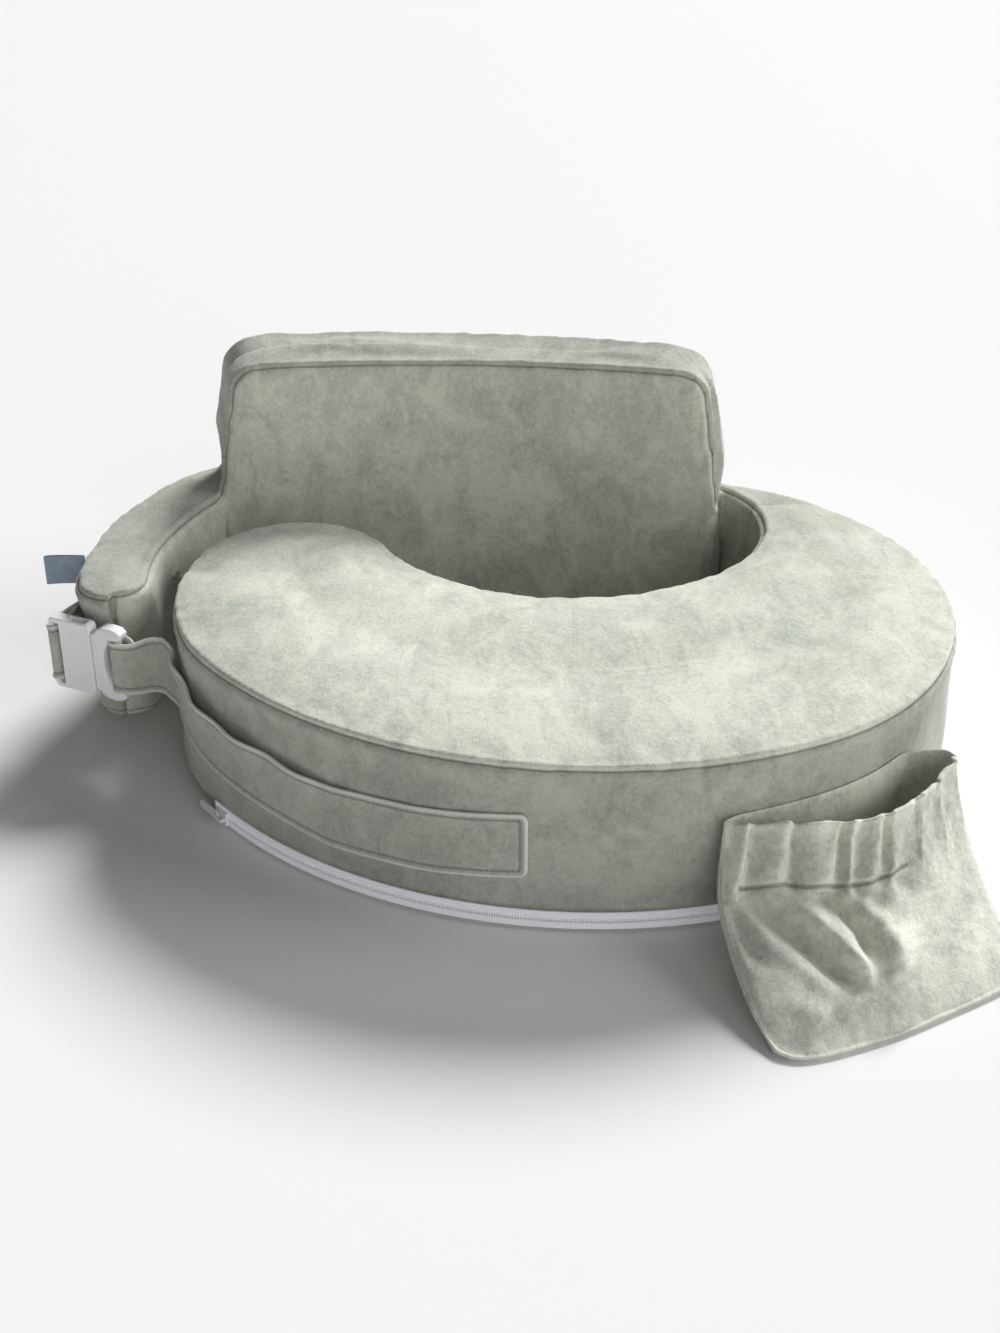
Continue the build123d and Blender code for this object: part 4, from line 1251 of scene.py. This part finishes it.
# %% Gathers and folds
CLOTH_ACROSS, CLOTH_DOWN = 155, 130
HEM = 0.27
HEM_ACROSS = 0.63
GATHERS = [
    (0.024, 0.013, 3.6), (0.125, 0.022, 6.2), (0.255, 0.024, 6.6), (0.400, 0.014, 4.2),
    (0.470, 0.013, 3.8), (0.560, 0.015, 4.4), (0.69, 0.025, 2.2), (0.82, 0.025, 1.8),
]
FOLD_LINES = [
    ([(12, 34), (17, 44), (27, 58), (39, 74), (50, 92), (57, 108)], 8.5, 5.2),
    ([(38, 33), (48, 40), (58, 50), (64, 64), (65, 82), (61, 104)], 9.5, 4.4),
    ([(25, 33), (35, 46), (46, 62), (54, 80), (59, 94)], -6.0, 6.0),
    ([(4, 36), (5, 50), (8, 68), (12, 84)], 4.0, 4.0),
    ([(76, 60), (78, 80), (72, 100)], -5.0, 10.0),
    ([(62, 34), (72, 44), (78, 56)], 3.4, 4.6),
    ([(86, 33), (94, 44), (97, 56)], 3.0, 5.0),
    ([(20, 100), (34, 112)], -3.0, 9.0),
]
print(len(GATHERS), "gathers and", len(FOLD_LINES), "folds")

# %% [markdown]
# ## Lifting the front layer
# The lift is in millimetres, along one direction that leans outwards and up.  It fades to nothing
# at the sewn edges, so the two layers still meet there.

# %% Pocket front layer
front_layer, u, v = cloth_grid("pocket_front", COLUMNS, ROWS)
v = 1 - v
local = coons(u, v, MOUTH, BOTTOM, LEFT, RIGHT)
across, down = u * CLOTH_ACROSS, v * CLOTH_DOWN


def cloth_noise(scale, seed, stretch=1.0):
    """Soft noise over the flat cloth."""
    return ripple(np.column_stack([across, down * stretch, 0 * down]), scale, seed)


lift = 15.0 * np.sin(pi * u) ** 0.6 * np.sin(pi * v**1.35) ** 1.1
in_hem = 1 - smoothstep(HEM * 0.75, HEM * 1.5, v)
below_hem = smoothstep(HEM * 0.9, HEM * 1.2, v)
for centre, half, deep in GATHERS:
    shifted = u - centre + 0.035 * (v / HEM)
    spread = half * (1 + 0.5 * v / HEM)
    lift = lift - deep * in_hem * bump_at(shifted, spread) * (1 - 0.35 * v / HEM)
    lift = lift + 0.5 * deep * in_hem * bump_at(np.abs(shifted) - 2.3 * spread, 1.2 * spread)
flat_points = np.stack([across, down], 1)
for line, deep, half in FOLD_LINES:
    gap, share = line_gap(flat_points, line)
    fade = (0.35 + 0.65 * smoothstep(0, 0.3, share)) * (1 - smoothstep(0.68, 1.0, share))
    fold = bump_at(gap, half) - 0.22 * bump_at(gap - 2.3 * half, half)
    lift = lift - deep * fade * fold * below_hem
hem_line = down - HEM * CLOTH_DOWN + 1.5 * np.sin(across / 14)
stitched = (1 - smoothstep(HEM_ACROSS, HEM_ACROSS + 0.03, u)) * smoothstep(0.03, 0.05, u)
pleats = 1.2 * cloth_noise(0.16, 9, 0.25) * bump_at(hem_line, 12)
lift = lift + stitched * (pleats - 2.2 * bump_at(hem_line, 1.6))
lift = lift + 1.3 * cloth_noise(0.035, 3) + 0.5 * cloth_noise(0.11, 4)
lift = lift + 2.2 * bump_at(v - HEM * 0.5, HEM * 0.36) * (1 - smoothstep(0.6, 0.8, u))
lift = lift + 1.8 * bump_at(v, 0.025) + 0.9 * in_hem * cloth_noise(0.22, 6)
rim = smoothstep(0, 0.03, np.minimum(np.minimum(u, 1 - u), 1 - v))
outwards = np.array((0.05, 0.80, 0.60))
places = local + outwards * (lift * rim)[:, None]
places[:, 0] += 2.0 * in_hem * np.sin(u * 40) * rim
places[:, 2] = np.maximum(places[:, 2], 1.6)
write(front_layer, pocket_place(places))
if np.mean(read(front_layer, "normal") @ POCKET_OUT) < 0:
    front_layer.data.flip_normals()
set_field(front_layer, "hem_seam", np.where(stitched > 0.5, hem_line * MM, 0.05))
front_area = sum(face.area for face in front_layer.data.polygons)
thicken(front_layer, 3.2 * MM)
print("the front layer is", round(front_area, 4), "m2")

# %% [markdown]
# ## The back layer
# Its top edge is felt out on the cushion's wall, and its middle hangs down and in, so the pouch
# is hollow.  Any point that would go into the cushion is drawn out to the skin.

# %% Pocket back layer
WALL_POINTS = (-45, -25, 0, 25, 50, 75, 92)
WALL_REACH = 12
back_layer, u, v = cloth_grid("pocket_back", 80, 70)
v = 1 - v
wall_top = [LEFT[0]]
for along in WALL_POINTS:
    start = POCKET_FOOT + (POCKET_WAY * along + POCKET_OUT * 20) * MM
    hit = touch(skin, start[:2], POCKET_OUT[:2], 80 * MM)
    gap = float((hit - POCKET_FOOT) @ POCKET_OUT) / MM + 1.6
    if gap < WALL_REACH:
        wall_top.append((along, gap, 81 + 0.02 * along))
wall_top += [(101, wall_top[-1][1] + 6, 83), RIGHT[0]]
local = coons(u, v, wall_top, BOTTOM, LEFT, RIGHT)
sink = np.sin(pi * u) ** 0.5 * np.sin(pi * v) ** 0.8
local[:, 1] -= 34 * sink
local[:, 2] -= 30 * sink
local[:, 2] = np.maximum(local[:, 2], 1.2)
places = pocket_place(local)
skin_gap = []
for i, point in enumerate(places):
    hit = touch(skin, point[:2], POCKET_OUT[:2], max(point[2], 16 * MM))
    need = (hit - point) @ POCKET_OUT + 1.4 * MM
    skin_gap.append(max(0.0, min(need, 0.05)) if u[i] > 0 and u[i] < 1 else 0.0)
places = places + POCKET_OUT * np.array(skin_gap)[:, None]
write(back_layer, places)
if np.mean(read(back_layer, "normal") @ POCKET_OUT) < 0:
    back_layer.data.flip_normals()
set_field(back_layer, "hem_seam", np.full(len(u), 0.05))
back_area = sum(face.area for face in back_layer.data.polygons)
thicken(back_layer, 2.0 * MM, offset=0.0)
print("the back layer is", round(back_area, 4), "m2")

for layer, length, held in ((front_layer, 0.153, "gathered"), (back_layer, 0.202, "hung")):
    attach(layer, "cushion")
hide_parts("pocket_front_panel", "pocket_hem", "pocket_elastic")
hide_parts("pocket_back_panel")

# %% [markdown]
# ## Finishes of the pocket and straps
# The pocket is the same velour as the covers.  The straps' velour is darker, with a painted highlight
# on the rolled edge, painted shade in the crease beside it, and stitches in the crease.  Those follow
# the numbers stored when the ribbons were made.

# %% Pocket and strap velour
STITCH_PITCH = 3.2 * MM
STITCH_LENGTH = 0.72
POCKET_PILE = {"light": (0.82, 0.82, 0.72, 1), "dark": (0.42, 0.44, 0.385, 1)}
STRAP_PILE = {"light": (0.56, 0.56, 0.49, 1), "dark": (0.31, 0.32, 0.275, 1)}


def dress(piece, material):
    """Gives a piece one material."""
    piece.data.materials.clear()
    piece.data.materials.append(material)


def edge_and_stitches(material):
    """Paints a highlight on a strap's rolled edge and shade in its crease, and lays stitches in it.
    """
    tree = material.node_tree
    shader = tree.nodes["Principled BSDF"]
    edge = field(tree, "edge_gap")
    # Painted highlight on the rolled edge.
    roll = ranged(tree, edge, 1.5 * MM, 3.2 * MM, 0.6, 0.0)
    from_stitch = maths(tree, "ABSOLUTE", maths(tree, "SUBTRACT", edge, STITCH_IN))
    # Painted shade in the crease.
    crease = ranged(tree, from_stitch, 0.3 * MM, 1.1 * MM, 0.75, 0.0)
    colour = shader.inputs["Base Color"].links[0].from_socket
    colour = mix_colours(tree, roll, colour, (0.95, 0.96, 0.90, 1))
    colour = mix_colours(tree, crease, colour, (0.13, 0.135, 0.11, 1))
    dash = maths(tree, "MULTIPLY", field(tree, "along"), 1 / STITCH_PITCH)
    dash = maths(tree, "LESS_THAN", maths(tree, "FRACT", dash), STITCH_LENGTH)
    thread = maths(tree, "MULTIPLY", maths(tree, "LESS_THAN", from_stitch, 0.35 * MM), dash)
    colour = mix_colours(tree, maths(tree, "MULTIPLY", thread, 0.6), colour, (0.42, 0.44, 0.38, 1))
    tree.links.new(colour, shader.inputs["Base Color"])


# The hem's stitched line gets the same painted shade as the covers' seams.
pocket_velour = velour("pocket_velour", seams=("hem_seam",), brushing=1.15, **POCKET_PILE)
strap_velour = velour("strap_velour_cloth", brushing=0.8, **STRAP_PILE)
edge_and_stitches(strap_velour)
for layer in (front_layer, back_layer):
    dress(layer, pocket_velour)
for strap in (waist_ribbon, arm_ribbon):
    dress(strap, strap_velour)
print("pocket and straps dressed")

# %% [markdown]
# ## Moulded plastic
# The buckle and the zip's slider are white moulded acetal: smooth, with a faint waviness from the
# mould and a finer unevenness in its gloss.

# %% Plastic
ACETAL = (0.95, 0.95, 0.97, 1)
ROUGH, ROUGH_CHANGE = 0.38, 0.18


def moulded_plastic(name, colour):
    """Moulded plastic with a faint waviness and an uneven gloss."""
    material = plain_material(name, colour[:3], ROUGH)
    tree = material.node_tree
    place = object_place(tree)
    wave = noise_at(tree, place, 90, detail=2)
    fine = noise_at(tree, place, 1500, detail=2)
    tone = mix_colours(tree, wave, colour, tuple(c * 0.93 for c in colour[:3]) + (1,))
    rough = maths(tree, "MULTIPLY_ADD", fine, ROUGH_CHANGE, ROUGH - ROUGH_CHANGE / 2)
    height = maths(tree, "MULTIPLY_ADD", fine, 0.15, wave)
    shader = finish(material, tone, height, 0.25, 0.3 * MM)
    tree.links.new(rough, shader.inputs["Roughness"])
    return material


white_plastic = moulded_plastic("white_acetal", ACETAL)
dress(plug, white_plastic)
print("plug dressed")

# %% [markdown]
# ## Zip and tag
# The zip's tapes are a fine herringbone weave, and its coil is a row of small teeth that follow the
# front edge's arc.  The zip has a weak painted glow, which keeps it white in the shade.  The tag is a
# satin ribbon with fine ribs.

# %% Zip and tag
# Painted glow: how much light the zip gives off though it is no lamp.
PAINTED_GLOW = 0.17
ARC_RADIUS_MM = 318.0
COIL_HEIGHT_MM = 8.0
COIL_PITCH_MM = 1.6
BRIGHT = (0.97, 0.97, 1.0, 1)


def arc_run(tree):
    """Millimetres along the front edge's arc, and height, at each point."""
    parts = add_node(tree, "ShaderNodeSeparateXYZ", {"Vector": object_place(tree)}).outputs
    east = maths(tree, "SUBTRACT", parts["X"], float(FRONT_ARC[0]))
    north = maths(tree, "SUBTRACT", parts["Y"], float(FRONT_ARC[1]))
    turn = maths(tree, "ARCTAN2", east, maths(tree, "MULTIPLY", north, -1.0))
    return maths(tree, "MULTIPLY", turn, ARC_RADIUS_MM), maths(tree, "MULTIPLY", parts["Z"], 1 / MM)


def add_painted_glow(material, colour):
    """Adds a weak painted glow, which lights the zip in the shade."""
    shader = material.node_tree.nodes["Principled BSDF"]
    material.node_tree.links.new(colour, shader.inputs["Emission Color"])
    shader.inputs["Emission Strength"].default_value = PAINTED_GLOW
    return material


def zip_tape():
    """Woven tape: a herringbone of fine ribs."""
    material = plain_material("zip_tape_weave", (0.78, 0.78, 0.84), 0.75)
    tree = material.node_tree
    along, height = arc_run(tree)
    zigzag = maths(tree, "PINGPONG", height, 1.4)
    ribs = maths(tree, "SINE", maths(tree, "MULTIPLY", maths(tree, "ADD", along, zigzag), 7.0))
    rows = maths(tree, "SINE", maths(tree, "MULTIPLY", height, 4.4))
    relief = maths(tree, "MULTIPLY_ADD", rows, 0.8, maths(tree, "MULTIPLY", ribs, 0.5))
    shade = maths(tree, "MULTIPLY_ADD", relief, 0.18, 0.5, clamp=True)
    colour = mix_colours(tree, shade, (0.78, 0.77, 0.86, 1), BRIGHT)
    finish(material, colour, relief, 0.6, 0.3 * MM)
    return add_painted_glow(material, colour)


def zip_coil():
    """Nylon coil: teeth at an even pitch, locked in the middle."""
    material = plain_material("zip_coil_nylon", (0.80, 0.80, 0.84), 0.35)
    tree = material.node_tree
    along, height = arc_run(tree)
    teeth = maths(tree, "SINE", maths(tree, "MULTIPLY", along, tau / COIL_PITCH_MM))
    middle = maths(tree, "ABSOLUTE", maths(tree, "SUBTRACT", height, COIL_HEIGHT_MM))
    lock = ranged(tree, middle, 0.05, 0.45, 1.0, 0.0)
    relief = maths(tree, "SUBTRACT", maths(tree, "MULTIPLY_ADD", teeth, 0.5, 0.5), lock)
    shade = maths(tree, "MULTIPLY_ADD", relief, 0.5, 0.45, clamp=True)
    colour = mix_colours(tree, shade, (0.52, 0.51, 0.60, 1), BRIGHT)
    finish(material, colour, relief, 0.9, 0.7 * MM)
    return add_painted_glow(material, colour)


def tag_ribbon():
    """Satin ribbon: fine ribs both ways, painted lighter on their crests and darker between them, and
    a soft change of tone.
    """
    material = plain_material("tag_satin", (0.24, 0.31, 0.40), 0.5)
    tree = material.node_tree
    place = object_place(tree)
    parts = add_node(tree, "ShaderNodeSeparateXYZ", {"Vector": place}).outputs
    ribs = maths(tree, "SINE", maths(tree, "MULTIPLY", parts["Z"], 9000.0))
    cross = maths(tree, "SINE", maths(tree, "MULTIPLY", parts["X"], 7000.0))
    relief = maths(tree, "MULTIPLY_ADD", ribs, 0.6, maths(tree, "MULTIPLY", cross, 0.3))
    # Painted light and shade: the ribs' relief lightens and darkens the colour.
    tone = maths(tree, "MULTIPLY_ADD", relief, 0.25, noise_at(tree, place, 120), clamp=True)
    colour = mix_colours(tree, tone, (0.20, 0.26, 0.35, 1), (0.34, 0.42, 0.52, 1))
    finish(material, colour, relief, 0.5, 0.2 * MM)
    return material


dress(side_ribbon, tag_ribbon())
FINISHES = {
    white_plastic: (
        "buckle_prong_upper", "buckle_prong_lower", "buckle_socket",
        "zipper_slider", "zipper_pull", "zipper_stops",
    ),
    zip_tape(): ("zipper_tape_upper", "zipper_tape_lower"),
    zip_coil(): ("zipper_coils",),
}
for material, names in FINISHES.items():
    for name in names:
        for material_slot in nodes[name].material_slots:
            material_slot.material = material
    print(material.name, "is on", len(names), "nodes")
